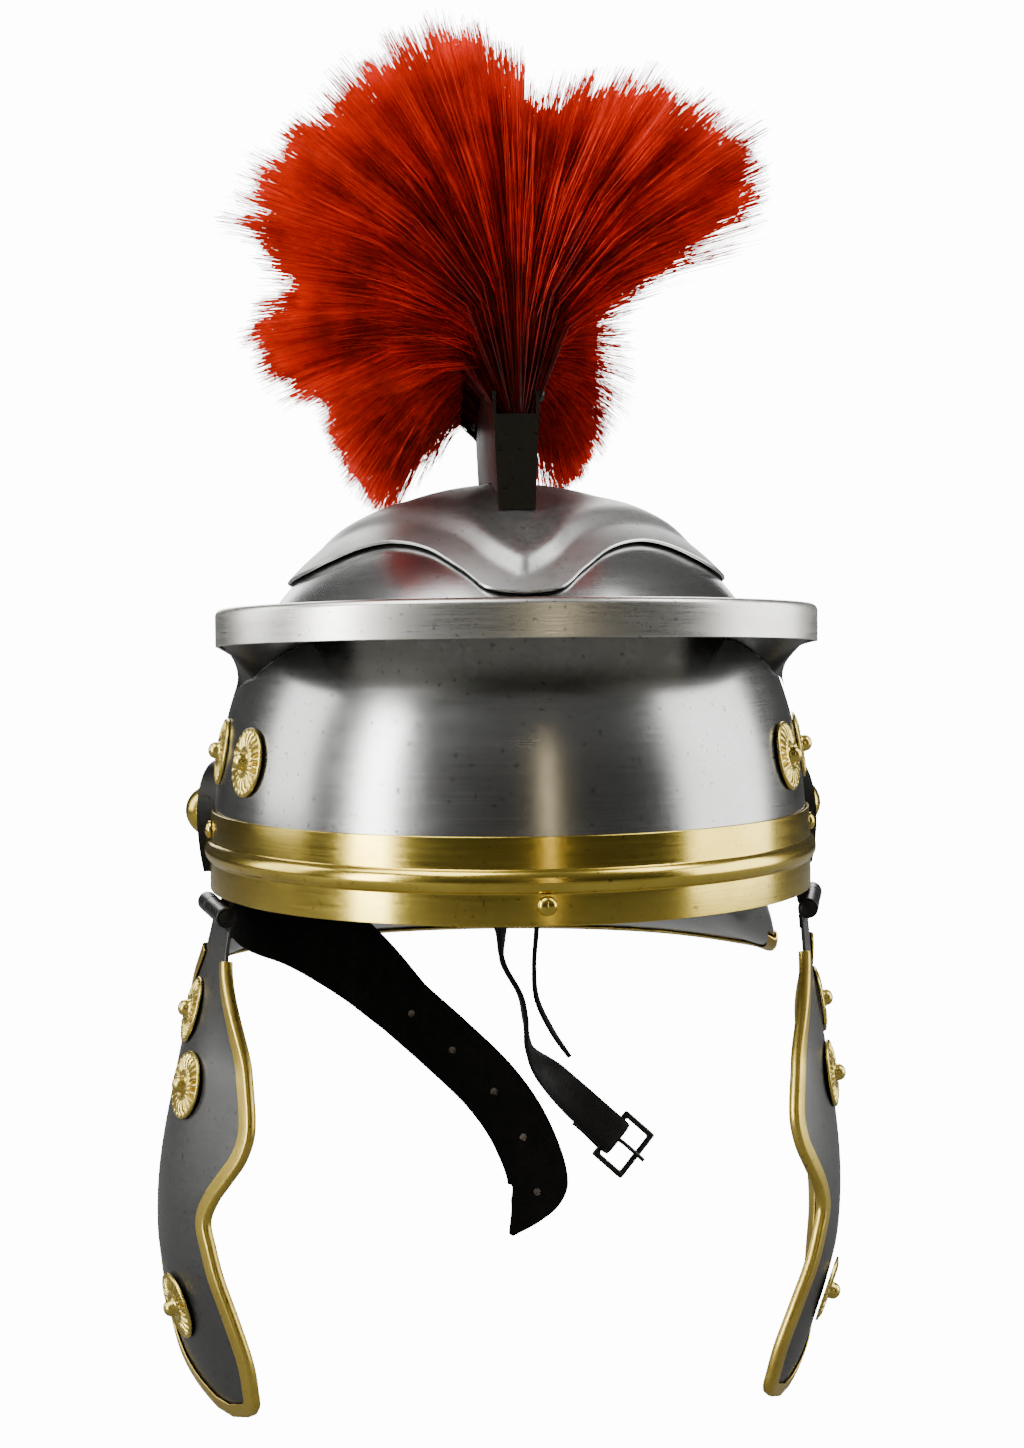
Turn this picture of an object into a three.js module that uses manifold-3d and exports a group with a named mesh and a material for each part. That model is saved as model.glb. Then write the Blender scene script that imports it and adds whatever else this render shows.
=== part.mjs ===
// Roman legionary helmet with a fore-aft hair crest, hinged cheek guards and leather straps.
// Millimetres. +Z is up, the brow looks along -Y, and +X is the wearer's left.
// The origin is the inside of the crown, where the helmet sits on a head.

import * as THREE from 'three';
import { mergeVertices } from 'three/addons/utils/BufferGeometryUtils.js';
import Module from 'manifold-3d';

const wasm = await Module();
wasm.setup();

// Sheet stock and the clearance between pieces that touch
const STEEL = 1.2;
const BRASS = 0.8;
const LEATHER = 2.2;
const FIT_GAP = 0.35;
const SHEET_GAP = 0.95;

// Bowl, measured on its outer face at the rim
const BOWL_HALF_WIDTH = 99.5;
const BOWL_HALF_LENGTH = 118.5;
const BOWL_HEIGHT = 131.5;
const BOWL_SQUARENESS = 2.7;
const BOWL_TURNS = 34;
const BOWL_RINGS = 9;
// How far the middle of a flat facet lies inside the smooth face
const BOWL_FACET_SAG = BOWL_HALF_LENGTH * (1 - Math.cos(Math.PI / BOWL_TURNS));

// Crown plate: how far its lower edge and its ridge lie under the bowl's top
const CROWN_EDGE_DROP = 19.8;
const CROWN_RIDGE_DROP = 10.5;
const CROWN_RIDGE_RAISE = 2;
const CROWN_RIDGE_WIDTH = 9;

// Brow peak
const PEAK_REACH = 128;
const PEAK_HALF_WIDTH = 95;
const PEAK_FACE_HEIGHT = 11.6;
const PEAK_TOP_HEIGHT = 95.3;
const PEAK_TILT = THREE.MathUtils.degToRad(2.4);
const PEAK_CORNER = 2.5;
const PEAK_END_DROP = 4.5;
const PEAK_TAB_TURN = THREE.MathUtils.degToRad(79);

// Brow band
const BAND_HEIGHT = 26;
const BAND_BEAD_HEIGHT = 13;
const BAND_BEAD_WIDTH = 6.8;
const BAND_BEAD_RAISE = 1.9;
const BAND_END_TURN = THREE.MathUtils.degToRad(86);
const BAND_RIVET_OFFSET = 3.5;
const BAND_RIVET_FROM_END = 7;
const BAND_STRIP_MIDDLE = 6;

// Neck guard
const NECK_OVERLAP = 12;
const NECK_DROP = 37;
const NECK_REACH = 46;
const NECK_HALF_TURN = THREE.MathUtils.degToRad(66);
const NECK_LIP = 3.2;
const NECK_RIVET_TURN = THREE.MathUtils.degToRad(34);

// Ear guards and the bosses that they frame
const EAR_CENTRE_BACK = 20;
const EAR_HALF_WIDTH = 24;
const EAR_HEIGHT = 39.5;
const EAR_FLANGE = 7.5;
const EAR_LEAF = 5;
const BOSS_RADIUS = 10;
const BOSS_HEIGHT = 8.5;
const BOSS_UP = 23;
const EAR_FEET_APART = 0.3;

// Crest box
const CREST_FRONT = 55;
const CREST_BACK = 60;
const CREST_FOOT_WIDTH = 11.6;
const CREST_TOP_WIDTH = 15;
const CREST_FRONT_HEIGHT = 30;
const CREST_SIDE_HEIGHT = 37;
const CREST_PIN_RADIUS = 1.3;
const CREST_PIN_HEAD = 2.6;
const CREST_PIN_INSET = 8;

// Hair of the crest
const HAIR_LENGTH = 120;
const HAIR_LEFT_TILT = 56;
const HAIR_RIGHT_TILT = -95;
const HAIR_REAR_TILT = 125;
const HAIR_LOCKS_ACROSS = 13;
const HAIR_LOCKS_ALONG = 6;

// Cheek guards, from the hinge line down, on the wearer's left side
const CHEEK_LENGTH = 157;
const CHEEK_WIDTH = 76;
const CHEEK_BULGE = 6;
const CHEEK_CURVE_RADIUS = 68;
const CHEEK_EDGE_FACE = 3.4;
const CHEEK_SPLAY_RIGHT = THREE.MathUtils.degToRad(8.5);
const CHEEK_SPLAY_LEFT = THREE.MathUtils.degToRad(3.8);
const CHEEK_TWIST_RIGHT = THREE.MathUtils.degToRad(8);
const CHEEK_TWIST_LEFT = 0;

// Hinges of the cheek guards
const HINGE_LENGTH = 38;
const HINGE_CENTRE_FORWARD = 31;
const HINGE_OUT = 1;
const HINGE_RADIUS = 3.3;
const HINGE_PIN_RADIUS = 1.4;
const HINGE_DROP = 4.6;
const HINGE_RISE = THREE.MathUtils.degToRad(1.5);
const HINGE_LEAF_HEIGHT = 13;
const HINGE_LEAF_ROOM = 0.75;

// Rosettes and rivets
const ROSETTE_RADIUS = 11;
const ROSETTE_FLUTES = 6;
const ROSETTE_DISH = 1.6;
const KNOB_RADIUS = 2.9;
const RIVET_RADIUS = 2.9;
const RIVET_HEIGHT = 1.8;
const RIVET_SIDES = 8;

// Straps and buckle
const STRAP_ROOT_HEIGHT = 10;
const STRAP_ROOT_FOOT = 1.5;
const HOLED_STRAP_WIDTH = 19.5;
const HOLED_STRAP_ROOT_WIDTH = 31;
const HOLED_STRAP_REACH = 104;
const HOLED_STRAP_DROP = 121;
const HOLED_STRAP_ROOT_BACK = 4;
const STRAP_HOLE_RADIUS = 1.7;
const STRAP_HOLE_PITCH = 19.5;
const STRAP_HOLE_FROM_END = 17;
const STRAP_HOLE_COUNT = 5;
const BUCKLE_STRAP_WIDTH = 14;
const BUCKLE_STRAP_SWING = 42.5;
const BUCKLE_STRAP_ASIDE = 3.5;
const BUCKLE_STRAP_DROP = 112;
const TIE_STRAP_WIDTH = 5;
const TIE_STRAP_DROP = 82;
const TIE_STRAP_SWING = 12;
const TIE_STRAP_ASIDE = 18;
const TIE_STRAP_THICKNESS = 1.8;
const BUCKLE_FRAME_WIDTH = 22;
const BUCKLE_FRAME_LENGTH = 15;
const BUCKLE_WIRE = 2.2;
const BUCKLE_SLOT_WIDTH = 3.2;
const BUCKLE_SLOT_LENGTH = 11;
const BUCKLE_PLY_LENGTH = 14;
const PRONG_RADIUS = 0.85;

const FULL_TURN = 2 * Math.PI;
const QUARTER_TURN = Math.PI / 2;

// Materials, with the colours of the worn steel, brass, leather and hair
const finish = (color, metalness, roughness) => (
  new THREE.MeshStandardMaterial({ color, metalness, roughness })
);
const steel = () => finish(0x8f8f8c, 1, 0.36);
const polishedSteel = () => finish(0xb6b3a6, 1, 0.22);
const darkSteel = () => finish(0x4c4a46, 1, 0.42);
const brass = () => finish(0xc39a3a, 1, 0.28);
const leather = () => finish(0x15110f, 0, 0.62);
const hair = () => finish(0xb51f12, 0, 0.7);

// Small helpers for points and smooth tables
const vec = (x, y, z) => new THREE.Vector3(x, y, z);
const mix = THREE.MathUtils.lerp;
const spread = (count, from = 0, to = 1) => (
  Array.from({ length: count + 1 }, (_, i) => mix(from, to, i / count))
);

// A table is read by its first column; the other columns are eased from row to row.
function readTable(rows, at, column) {
  let i = 0;
  while (i < rows.length - 2 && at > rows[i + 1][0]) i += 1;
  const share = THREE.MathUtils.clamp((at - rows[i][0]) / (rows[i + 1][0] - rows[i][0]), 0, 1);
  const before = rows[Math.max(i - 1, 0)];
  const after = rows[Math.min(i + 2, rows.length - 1)];
  const slopeOf = (a, b) => (b[column] - a[column]) / Math.max(b[0] - a[0], 1e-6);
  const step = rows[i + 1][0] - rows[i][0];
  const rise = slopeOf(before, rows[i + 1]) * step;
  const fall = slopeOf(rows[i], after) * step;
  const [s2, s3] = [share * share, share * share * share];
  return (2 * s3 - 3 * s2 + 1) * rows[i][column] + (s3 - 2 * s2 + share) * rise
    + (3 * s2 - 2 * s3) * rows[i + 1][column] + (s3 - s2) * fall;
}

// A closed body from a list of corner points and triangles, turned so that its faces point out
function bodyFrom(points, triangles) {
  let volume = 0;
  const kept = triangles.filter(([a, b, c]) => {
    const cross = points[b].clone().sub(points[a]).cross(points[c].clone().sub(points[a]));
    volume += points[a].dot(cross);
    return cross.length() > 1e-7;
  });
  const ordered = volume < 0 ? kept.map(([a, b, c]) => [a, c, b]) : kept;
  const geometry = new THREE.BufferGeometry();
  const corners = ordered.flat().flatMap((i) => points[i].toArray());
  geometry.setAttribute('position', new THREE.Float32BufferAttribute(corners, 3));
  return mergeVertices(geometry, 1e-4);
}

// A sheet between two faces. Each face is rows of points; wrap joins the last row to the first.
function sheet(outer, inner, wrap = false) {
  const rows = outer.length;
  const columns = outer[0].length;
  const points = [...outer.flat(), ...inner.flat()];
  const at = (side, i, j) => side * rows * columns + (i % rows) * columns + j;
  const triangles = [];
  const quad = (a, b, c, d) => triangles.push([a, b, c], [a, c, d]);
  const lastRow = wrap ? rows : rows - 1;
  for (let i = 0; i < lastRow; i += 1) {
    for (let j = 0; j < columns - 1; j += 1) {
      quad(at(0, i, j), at(0, i + 1, j), at(0, i + 1, j + 1), at(0, i, j + 1));
      quad(at(1, i, j), at(1, i, j + 1), at(1, i + 1, j + 1), at(1, i + 1, j));
    }
    quad(at(0, i, 0), at(1, i, 0), at(1, i + 1, 0), at(0, i + 1, 0));
    quad(at(0, i, columns - 1), at(0, i + 1, columns - 1), at(1, i + 1, columns - 1),
      at(1, i, columns - 1));
  }
  if (!wrap) {
    for (let j = 0; j < columns - 1; j += 1) {
      quad(at(0, 0, j), at(0, 0, j + 1), at(1, 0, j + 1), at(1, 0, j));
      quad(at(0, rows - 1, j), at(1, rows - 1, j), at(1, rows - 1, j + 1), at(0, rows - 1, j + 1));
    }
  }
  return bodyFrom(points, triangles);
}

// A closed hoop from loops of points, one loop for each step round it
function hoop(loops) {
  const [count, size] = [loops.length, loops[0].length];
  const at = (i, j) => (i % count) * size + (j % size);
  const triangles = [];
  for (let i = 0; i < count; i += 1) {
    for (let j = 0; j < size; j += 1) {
      triangles.push([at(i, j), at(i + 1, j), at(i + 1, j + 1)]);
      triangles.push([at(i, j), at(i + 1, j + 1), at(i, j + 1)]);
    }
  }
  return bodyFrom(loops.flat(), triangles);
}

// A round turned piece from a profile of [radius, height] points, set on the local +Z axis
function turned(profile, sides) {
  const geometry = new THREE.LatheGeometry(profile.map(([r, h]) => new THREE.Vector2(r, h)), sides);
  return geometry.rotateX(QUARTER_TURN);
}

// Joins and cuts of closed bodies
function solid(geometry) {
  const bare = geometry.clone();
  bare.deleteAttribute('normal');
  bare.deleteAttribute('uv');
  const merged = mergeVertices(bare, 1e-4);
  const index = merged.index.array;
  const triVerts = [];
  for (let i = 0; i < index.length; i += 3) {
    const [a, b, c] = [index[i], index[i + 1], index[i + 2]];
    if (a !== b && b !== c && a !== c) triVerts.push(a, b, c);
  }
  return new wasm.Manifold(new wasm.Mesh({
    numProp: 3,
    vertProperties: new Float32Array(merged.attributes.position.array),
    triVerts: new Uint32Array(triVerts),
  }));
}

function geometryOf(body) {
  const mesh = body.getMesh();
  const geometry = new THREE.BufferGeometry();
  geometry.setAttribute('position', new THREE.BufferAttribute(mesh.vertProperties.slice(), 3));
  geometry.setIndex(new THREE.BufferAttribute(mesh.triVerts.slice(), 1));
  return geometry;
}

const join = (geometries) => geometryOf(geometries.map(solid).reduce((a, b) => a.add(b)));
const cut = (geometry, tools) => (
  geometryOf(tools.map(solid).reduce((body, tool) => body.subtract(tool), solid(geometry)))
);

// The helmet is built above its rim plane and then hung from the inside of its crown.
const helmet = new THREE.Group();
const assembly = new THREE.Group();
assembly.position.z = STEEL - BOWL_HEIGHT;
helmet.add(assembly);

function place(parent, name, geometry, material) {
  const mesh = new THREE.Mesh(geometry, material);
  mesh.name = name;
  parent.add(mesh);
  return mesh;
}

// Turns a piece that is modelled on +Z so that it stands on a point along a direction
function standOn(mesh, point, direction) {
  mesh.position.copy(point);
  mesh.quaternion.setFromUnitVectors(vec(0, 0, 1), direction.clone().normalize());
}

// Dome of the bowl: turn 0 is the brow, positive toward +X; lift is measured out of the face
const climbAt = (height) => (
  Math.asin(Math.pow(THREE.MathUtils.clamp(height / BOWL_HEIGHT, 0, 1), BOWL_SQUARENESS / 2))
);

function domeNormal(turn, climb) {
  const rise = Math.pow(Math.sin(climb), 2 / BOWL_SQUARENESS);
  return vec(
    2 * Math.sin(turn) * Math.cos(climb) / BOWL_HALF_WIDTH,
    -2 * Math.cos(turn) * Math.cos(climb) / BOWL_HALF_LENGTH,
    BOWL_SQUARENESS * Math.pow(rise, BOWL_SQUARENESS - 1) / BOWL_HEIGHT,
  ).normalize();
}

function domePoint(turn, climb, lift = 0) {
  return vec(
    BOWL_HALF_WIDTH * Math.sin(turn) * Math.cos(climb),
    -BOWL_HALF_LENGTH * Math.cos(turn) * Math.cos(climb),
    BOWL_HEIGHT * Math.pow(Math.sin(climb), 2 / BOWL_SQUARENESS),
  ).addScaledVector(domeNormal(turn, climb), lift);
}

// Below the rim the wall goes straight down, so heights under zero keep the rim's outline.
function wallPoint(turn, height, lift = 0) {
  const point = domePoint(turn, climbAt(height), lift);
  return height < 0 ? point.setZ(height) : point;
}

const turnAtBack = (back) => Math.acos(-back / BOWL_HALF_LENGTH);

// Height of the dome's outer face on the centre line
const crownHeight = (back) => (
  BOWL_HEIGHT * Math.pow(1 - (back / BOWL_HALF_LENGTH) ** 2, 1 / BOWL_SQUARENESS)
);

function makeBowl() {
  const turns = spread(BOWL_TURNS, 0, FULL_TURN).slice(0, -1);
  const climbs = spread(BOWL_RINGS, 0, QUARTER_TURN);
  const face = (lift) => turns.map((t) => climbs.map((c) => domePoint(t, c, lift)));
  place(assembly, 'skull_bowl', sheet(face(0), face(-STEEL), true), steel());
}

// Crown plate: columns are turn in degrees, edge height and ridge height as shares of
// their named heights, and how much of the ridge is raised there
const CROWN_SECTIONS = [
  [0, 0.855, 0.862, 1],
  [8.5, 0.869, 0.91, 1],
  [15, 0.918, 0.952, 1],
  [26, 0.976, 0.985, 1],
  [40, 1, 1, 1],
  [52, 0.988, 1, 1],
  [64, 0.95, 0.99, 0.9],
  [75, 0.915, 0.965, 0.7],
  [92, 0.89, 0.94, 0.25],
  [110, 0.885, 0.935, 0],
  [180, 0.885, 0.935, 0],
];

// Places across the ridge: share of its half width, and share of its raise
const RIDGE_STEPS = [[-1, 0], [-0.15, 1], [0.25, 0.85], [1, 0]];

function crownRow(turn) {
  const degrees = Math.abs(THREE.MathUtils.radToDeg(turn));
  const edge = (BOWL_HEIGHT - CROWN_EDGE_DROP) * readTable(CROWN_SECTIONS, degrees, 1);
  const ridge = (BOWL_HEIGHT - CROWN_RIDGE_DROP) * readTable(CROWN_SECTIONS, degrees, 2);
  const raised = CROWN_RIDGE_RAISE * readTable(CROWN_SECTIONS, degrees, 3);
  const rise = (BOWL_HEIGHT - ridge) * 0.45;
  const row = [[edge, 0]];
  for (const [across, up] of RIDGE_STEPS) {
    const reach = across < 0 ? Math.min(CROWN_RIDGE_WIDTH / 2, (ridge - edge) * 0.7)
      : Math.min(CROWN_RIDGE_WIDTH / 2, rise);
    row.push([ridge + across * reach, up * raised]);
  }
  const last = climbAt(row[row.length - 1][0]);
  const top = spread(4, last, QUARTER_TURN).slice(1);
  return [...row.map(([height, raise]) => [climbAt(height), raise]), ...top.map((climb) => [climb, 0])];
}

function makeCrownPlate() {
  const turns = spread(BOWL_TURNS, -Math.PI, Math.PI).slice(0, -1);
  const face = (lift) => turns.map((turn) => crownRow(turn).map(
    ([climb, raise]) => domePoint(turn, climb, lift + raise),
  ));
  place(assembly, 'crown_plate', sheet(face(SHEET_GAP + STEEL), face(SHEET_GAP), true), steel());
}

// Brow peak: one bent plate, a shelf from the bowl with its front edge turned down
function peakStation(side, share) {
  // share 0 is the front, 1 is the widest point, and past 1 the peak turns in to the bowl
  const sag = Math.tan(PEAK_TILT) * PEAK_REACH + PEAK_END_DROP;
  const lowest = PEAK_TOP_HEIGHT - PEAK_FACE_HEIGHT - sag;
  const wideBack = -0.42 * BOWL_HALF_LENGTH;
  let face;
  if (share <= 1) {
    const angle = share * QUARTER_TURN;
    face = vec(PEAK_HALF_WIDTH * Math.sin(angle), wideBack - (PEAK_REACH + wideBack) * Math.cos(angle), 0);
  } else {
    const angle = (share - 1) * QUARTER_TURN;
    const inner = domePoint(PEAK_TAB_TURN, climbAt(lowest), 2 * STEEL + FIT_GAP);
    face = vec(
      mix(inner.x, PEAK_HALF_WIDTH, Math.cos(angle)),
      mix(wideBack, inner.y, Math.sin(angle)),
      -PEAK_END_DROP * (1 - Math.cos(angle)),
    );
  }
  const tilt = -Math.tan(PEAK_TILT) * (face.y + PEAK_REACH);
  const top = PEAK_TOP_HEIGHT + tilt + face.z;
  const turn = Math.atan2(face.x / BOWL_HALF_WIDTH, -face.y / BOWL_HALF_LENGTH);
  const root = domePoint(turn, climbAt(top - STEEL));
  const inward = vec(root.x - face.x, root.y - face.y, 0);
  const depth = Math.max(inward.length() - 1.5 * FIT_GAP, 1.8 * STEEL);
  inward.normalize();
  const at = (back, height) => vec(side * (face.x + inward.x * back), face.y + inward.y * back, height);
  const bottom = top - PEAK_FACE_HEIGHT;
  const corner = Math.min(PEAK_CORNER, depth / 2);
  const bend = corner * 0.3;
  return {
    outer: [at(0, bottom), at(0, top - corner), at(bend, top - bend), at(corner, top), at(depth, top)],
    inner: [
      at(STEEL, bottom), at(STEEL, top - corner), at(bend + STEEL * 0.7, top - bend - STEEL * 0.7),
      at(Math.max(corner, 1.5 * STEEL), top - STEEL), at(depth, top - STEEL),
    ],
  };
}

function makePeak() {
  const shares = [...spread(8, 0, 1), 1.3, 1.62, 1.93];
  const left = shares.slice(1).reverse().map((share) => peakStation(-1, share));
  const stations = [...left, ...shares.map((share) => peakStation(1, share))];
  const body = sheet(stations.map((s) => s.outer), stations.map((s) => s.inner));
  place(assembly, 'brow_peak', body, polishedSteel());
}

// Brow band: places up the band as height from the bead's middle in half bead widths
const BEAD_STEPS = [[-1, 0], [-0.55, 0.7], [0, 1], [0.55, 0.7], [1, 0]];

function makeBand() {
  const bead = BEAD_STEPS.map(([at, raise]) => (
    [BAND_BEAD_HEIGHT + at * BAND_BEAD_WIDTH / 2, raise * BAND_BEAD_RAISE]
  ));
  const steps = [[0, 0], ...bead, [BAND_HEIGHT, 0]];
  const turns = spread(24, -BAND_END_TURN, BAND_END_TURN);
  const face = (lift) => turns.map((turn) => steps.map(
    ([height, raise]) => domePoint(turn, climbAt(height), lift + raise),
  ));
  place(assembly, 'brow_band', sheet(face(FIT_GAP + BRASS), face(FIT_GAP)), brass());

  // One rivet is under the bead at the brow, and one is over it at each end.
  const endTurn = BAND_END_TURN - BAND_RIVET_FROM_END / BOWL_HALF_WIDTH;
  const rivets = [
    ['brow_band_rivet_front', Math.asin(BAND_RIVET_OFFSET / BOWL_HALF_WIDTH), BAND_STRIP_MIDDLE],
    ['brow_band_rivet_left', endTurn, BAND_HEIGHT - BAND_STRIP_MIDDLE],
    ['brow_band_rivet_right', -endTurn, BAND_HEIGHT - BAND_STRIP_MIDDLE],
  ];
  for (const [name, turn, height] of rivets) {
    const climb = climbAt(height);
    const mesh = place(assembly, name, rivetHead(RIVET_RADIUS, RIVET_HEIGHT), brass());
    standOn(mesh, domePoint(turn, climb, 2 * FIT_GAP + BRASS), domeNormal(turn, climb));
  }
}

function rivetHead(radius, height, sides = RIVET_SIDES) {
  const steps = spread(3, 0, QUARTER_TURN).map((a) => [radius * Math.cos(a), height * Math.sin(a)]);
  steps[steps.length - 1][0] = 0;
  return turned([[0, 0], ...steps], sides);
}

// Neck guard: columns are the share of its half turn from the middle of the nape,
// the share of its reach and the share of its drop
const NECK_SECTIONS = [
  [0, 1, 1],
  [0.4, 0.96, 1],
  [0.7, 0.76, 1],
  [0.85, 0.5, 0.93],
  [1, 0.1, 0.42],
];

// Rows down the neck guard: share of the drop, and share of the reach
const NECK_STEPS = [[0, 0], [0.3, 0.02], [0.58, 0.1], [0.76, 0.32], [0.89, 0.64], [1, 1]];

function neckPoint(away, step, lift) {
  const share = Math.abs(away) / NECK_HALF_TURN;
  const turn = Math.PI + away;
  const [down, out] = step;
  const reach = out * NECK_REACH * readTable(NECK_SECTIONS, share, 1);
  const drop = down * NECK_DROP * readTable(NECK_SECTIONS, share, 2);
  return wallPoint(turn, 0, FIT_GAP + lift + reach).setZ(-drop);
}

// The sheet's other face is set off along its own normal, since the wall faces out and the
// flange faces up.
function setOff(face, distance) {
  const last = face.length - 1;
  return face.map((row, i) => row.map((point, j) => {
    const beside = face[Math.min(i + 1, last)][j].clone().sub(face[Math.max(i - 1, 0)][j]);
    const down = row[Math.min(j + 1, row.length - 1)].clone().sub(row[Math.max(j - 1, 0)]);
    return point.clone().addScaledVector(beside.cross(down).normalize(), distance);
  }));
}

function makeNeckGuard() {
  const aways = spread(16, -NECK_HALF_TURN, NECK_HALF_TURN);
  const outer = aways.map((away) => [
    wallPoint(Math.PI + away, NECK_OVERLAP, FIT_GAP + STEEL),
    ...NECK_STEPS.map((step) => neckPoint(away, step, STEEL)),
  ]);
  const inner = setOff(outer, STEEL);
  place(assembly, 'neck_guard', sheet(outer, inner), steel());

  // Brass edging folded round the flange's rim
  const outline = outer.map((row, i) => {
    const [back, edge] = row.slice(-2);
    const under = inner[i][row.length - 1];
    return {
      at: edge.clone().lerp(under, 0.5),
      out: edge.clone().sub(back).normalize(),
      up: edge.clone().sub(under).normalize(),
    };
  });
  place(assembly, 'neck_guard_edging', edging(outline, NECK_LIP, BRASS, 1), brass());

  for (const [name, side] of [['neck_guard_rivet_left', -1], ['neck_guard_rivet_right', 1]]) {
    const turn = Math.PI + side * NECK_RIVET_TURN;
    const climb = climbAt(NECK_OVERLAP / 2);
    const mesh = place(assembly, name, rivetHead(RIVET_RADIUS, RIVET_HEIGHT), steel());
    standOn(mesh, domePoint(turn, climb, 2 * FIT_GAP + STEEL), domeNormal(turn, climb));
  }
}

// A channel folded over the edge of a plate; skip leaves its ends short of the plate's ends
function edging(outline, lip, wall, skip) {
  const half = STEEL / 2 + 1.5 * FIT_GAP;
  const outer = [];
  const inner = [];
  for (const { at, out, up } of outline.slice(skip, outline.length - skip)) {
    const spot = (along, across) => at.clone().addScaledVector(out, along).addScaledVector(up, across);
    outer.push([
      spot(-lip, half + wall), spot(FIT_GAP + wall, half + 0.4 * wall),
      spot(FIT_GAP + wall, -half - 0.4 * wall), spot(-lip, -half - wall),
    ]);
    inner.push([spot(-lip, half), spot(FIT_GAP, half), spot(FIT_GAP, -half), spot(-lip, -half)]);
  }
  return sheet(outer, inner);
}

// Ear guards: an arch with a leaf on the bowl and a flange that stands out from it
function makeEarGuard(side, name) {
  const stations = spread(14, 0.03, 0.97).map((share) => {
    const angle = share * Math.PI;
    const stand = mix(EAR_FEET_APART, 1, Math.abs(Math.sin(2 * angle)) ** 0.7) * EAR_FLANGE;
    const at = (inset, lift) => {
      const back = EAR_CENTRE_BACK - (EAR_HALF_WIDTH - inset) * Math.cos(angle);
      const height = (EAR_HEIGHT - inset) * Math.sin(angle) + 1;
      const point = domePoint(turnAtBack(back), climbAt(height), FIT_GAP + lift);
      return point.setX(side * point.x);
    };
    return {
      outer: [at(EAR_LEAF, 0), at(0, 0), at(0, stand)],
      inner: [at(EAR_LEAF, STEEL), at(STEEL, STEEL), at(STEEL, stand)],
    };
  });
  const body = sheet(stations.map((s) => s.outer), stations.map((s) => s.inner));
  place(assembly, `ear_guard_${name}`, body, darkSteel());
}

// Boss profile from its rim in: share of its radius, and share of its height
const BOSS_PROFILE = [[0, 0], [1, 0], [1, 0.12], [0.93, 0.45], [0.78, 0.78], [0.5, 0.97], [0, 1]];

function makeEarBoss(side, name) {
  const turn = turnAtBack(EAR_CENTRE_BACK);
  const climb = climbAt(BOSS_UP);
  const profile = BOSS_PROFILE.map(([r, h]) => [r * BOSS_RADIUS, h * BOSS_HEIGHT]);
  const mesh = place(assembly, `ear_boss_${name}`, turned(profile, 12), brass());
  const point = domePoint(turn, climb, FIT_GAP - BOWL_FACET_SAG);
  const normal = domeNormal(turn, climb);
  standOn(mesh, point.setX(side * point.x), normal.setX(side * normal.x));
}

// Crest box: a channel that widens upward and follows the crown, with a lower front wall
const crestSeat = (back) => crownHeight(back) + SHEET_GAP + STEEL + 1.5 * FIT_GAP;

function crestPrism(front, back, footHalf, topHalf, low, high) {
  const rows = spread(8, front, back).map((y) => {
    const [z0, z1] = [low(y), high(y)];
    return [vec(-footHalf, y, z0), vec(-topHalf, y, z1), vec(topHalf, y, z1), vec(footHalf, y, z0)];
  });
  const left = rows.map((row) => [row[0], row[1]]);
  const right = rows.map((row) => [row[3], row[2]]);
  return sheet(left, right);
}

const crestPinSpots = () => [
  ['crest_pin_front', CREST_PIN_INSET - CREST_FRONT],
  ['crest_pin_rear', CREST_BACK - CREST_PIN_INSET],
];

function crestPinBar(radius, halfLength, back, height) {
  const bar = new THREE.CylinderGeometry(radius, radius, 2 * halfLength, 10);
  return bar.rotateZ(QUARTER_TURN).translate(0, back, height);
}

const crestPinHeight = (back) => crestSeat(back) + CREST_SIDE_HEIGHT - 3.5;

// Half width of the channel's outside at a height above its foot
const crestHalfAt = (above) => (
  mix(CREST_FOOT_WIDTH, CREST_TOP_WIDTH, above / CREST_SIDE_HEIGHT) / 2
);

function makeCrestBox() {
  const [foot, top] = [CREST_FOOT_WIDTH / 2, CREST_TOP_WIDTH / 2];
  const shell = crestPrism(-CREST_FRONT, CREST_BACK, foot, top, crestSeat,
    (y) => crestSeat(y) + CREST_SIDE_HEIGHT);
  const over = 4;
  const overHalf = crestHalfAt(CREST_SIDE_HEIGHT + over) - STEEL;
  const room = crestPrism(-CREST_FRONT + STEEL, CREST_BACK - STEEL, foot - STEEL, overHalf,
    (y) => crestSeat(y) + STEEL, (y) => crestSeat(y) + CREST_SIDE_HEIGHT + over);
  const frontCut = new THREE.BoxGeometry(2 * (top - STEEL), 4 * STEEL, CREST_SIDE_HEIGHT);
  const cutLow = crestSeat(-CREST_FRONT) + CREST_FRONT_HEIGHT;
  frontCut.translate(0, -CREST_FRONT, cutLow + CREST_SIDE_HEIGHT / 2);
  const holes = crestPinSpots().map(([, back]) => (
    crestPinBar(CREST_PIN_RADIUS + FIT_GAP, CREST_TOP_WIDTH, back, crestPinHeight(back))
  ));
  place(assembly, 'crest_box', cut(shell, [room, frontCut, ...holes]), darkSteel());

  for (const [name, back] of crestPinSpots()) {
    const half = crestHalfAt(CREST_SIDE_HEIGHT) + FIT_GAP;
    const height = crestPinHeight(back);
    const bar = crestPinBar(CREST_PIN_RADIUS, half + 0.5, back, height);
    const heads = [-1, 1].map((side) => (
      rivetHead(CREST_PIN_HEAD, RIVET_HEIGHT).rotateY(side * QUARTER_TURN)
        .translate(side * half, back, height)
    ));
    place(assembly, name, join([bar, ...heads]), darkSteel());
  }
}

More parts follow.
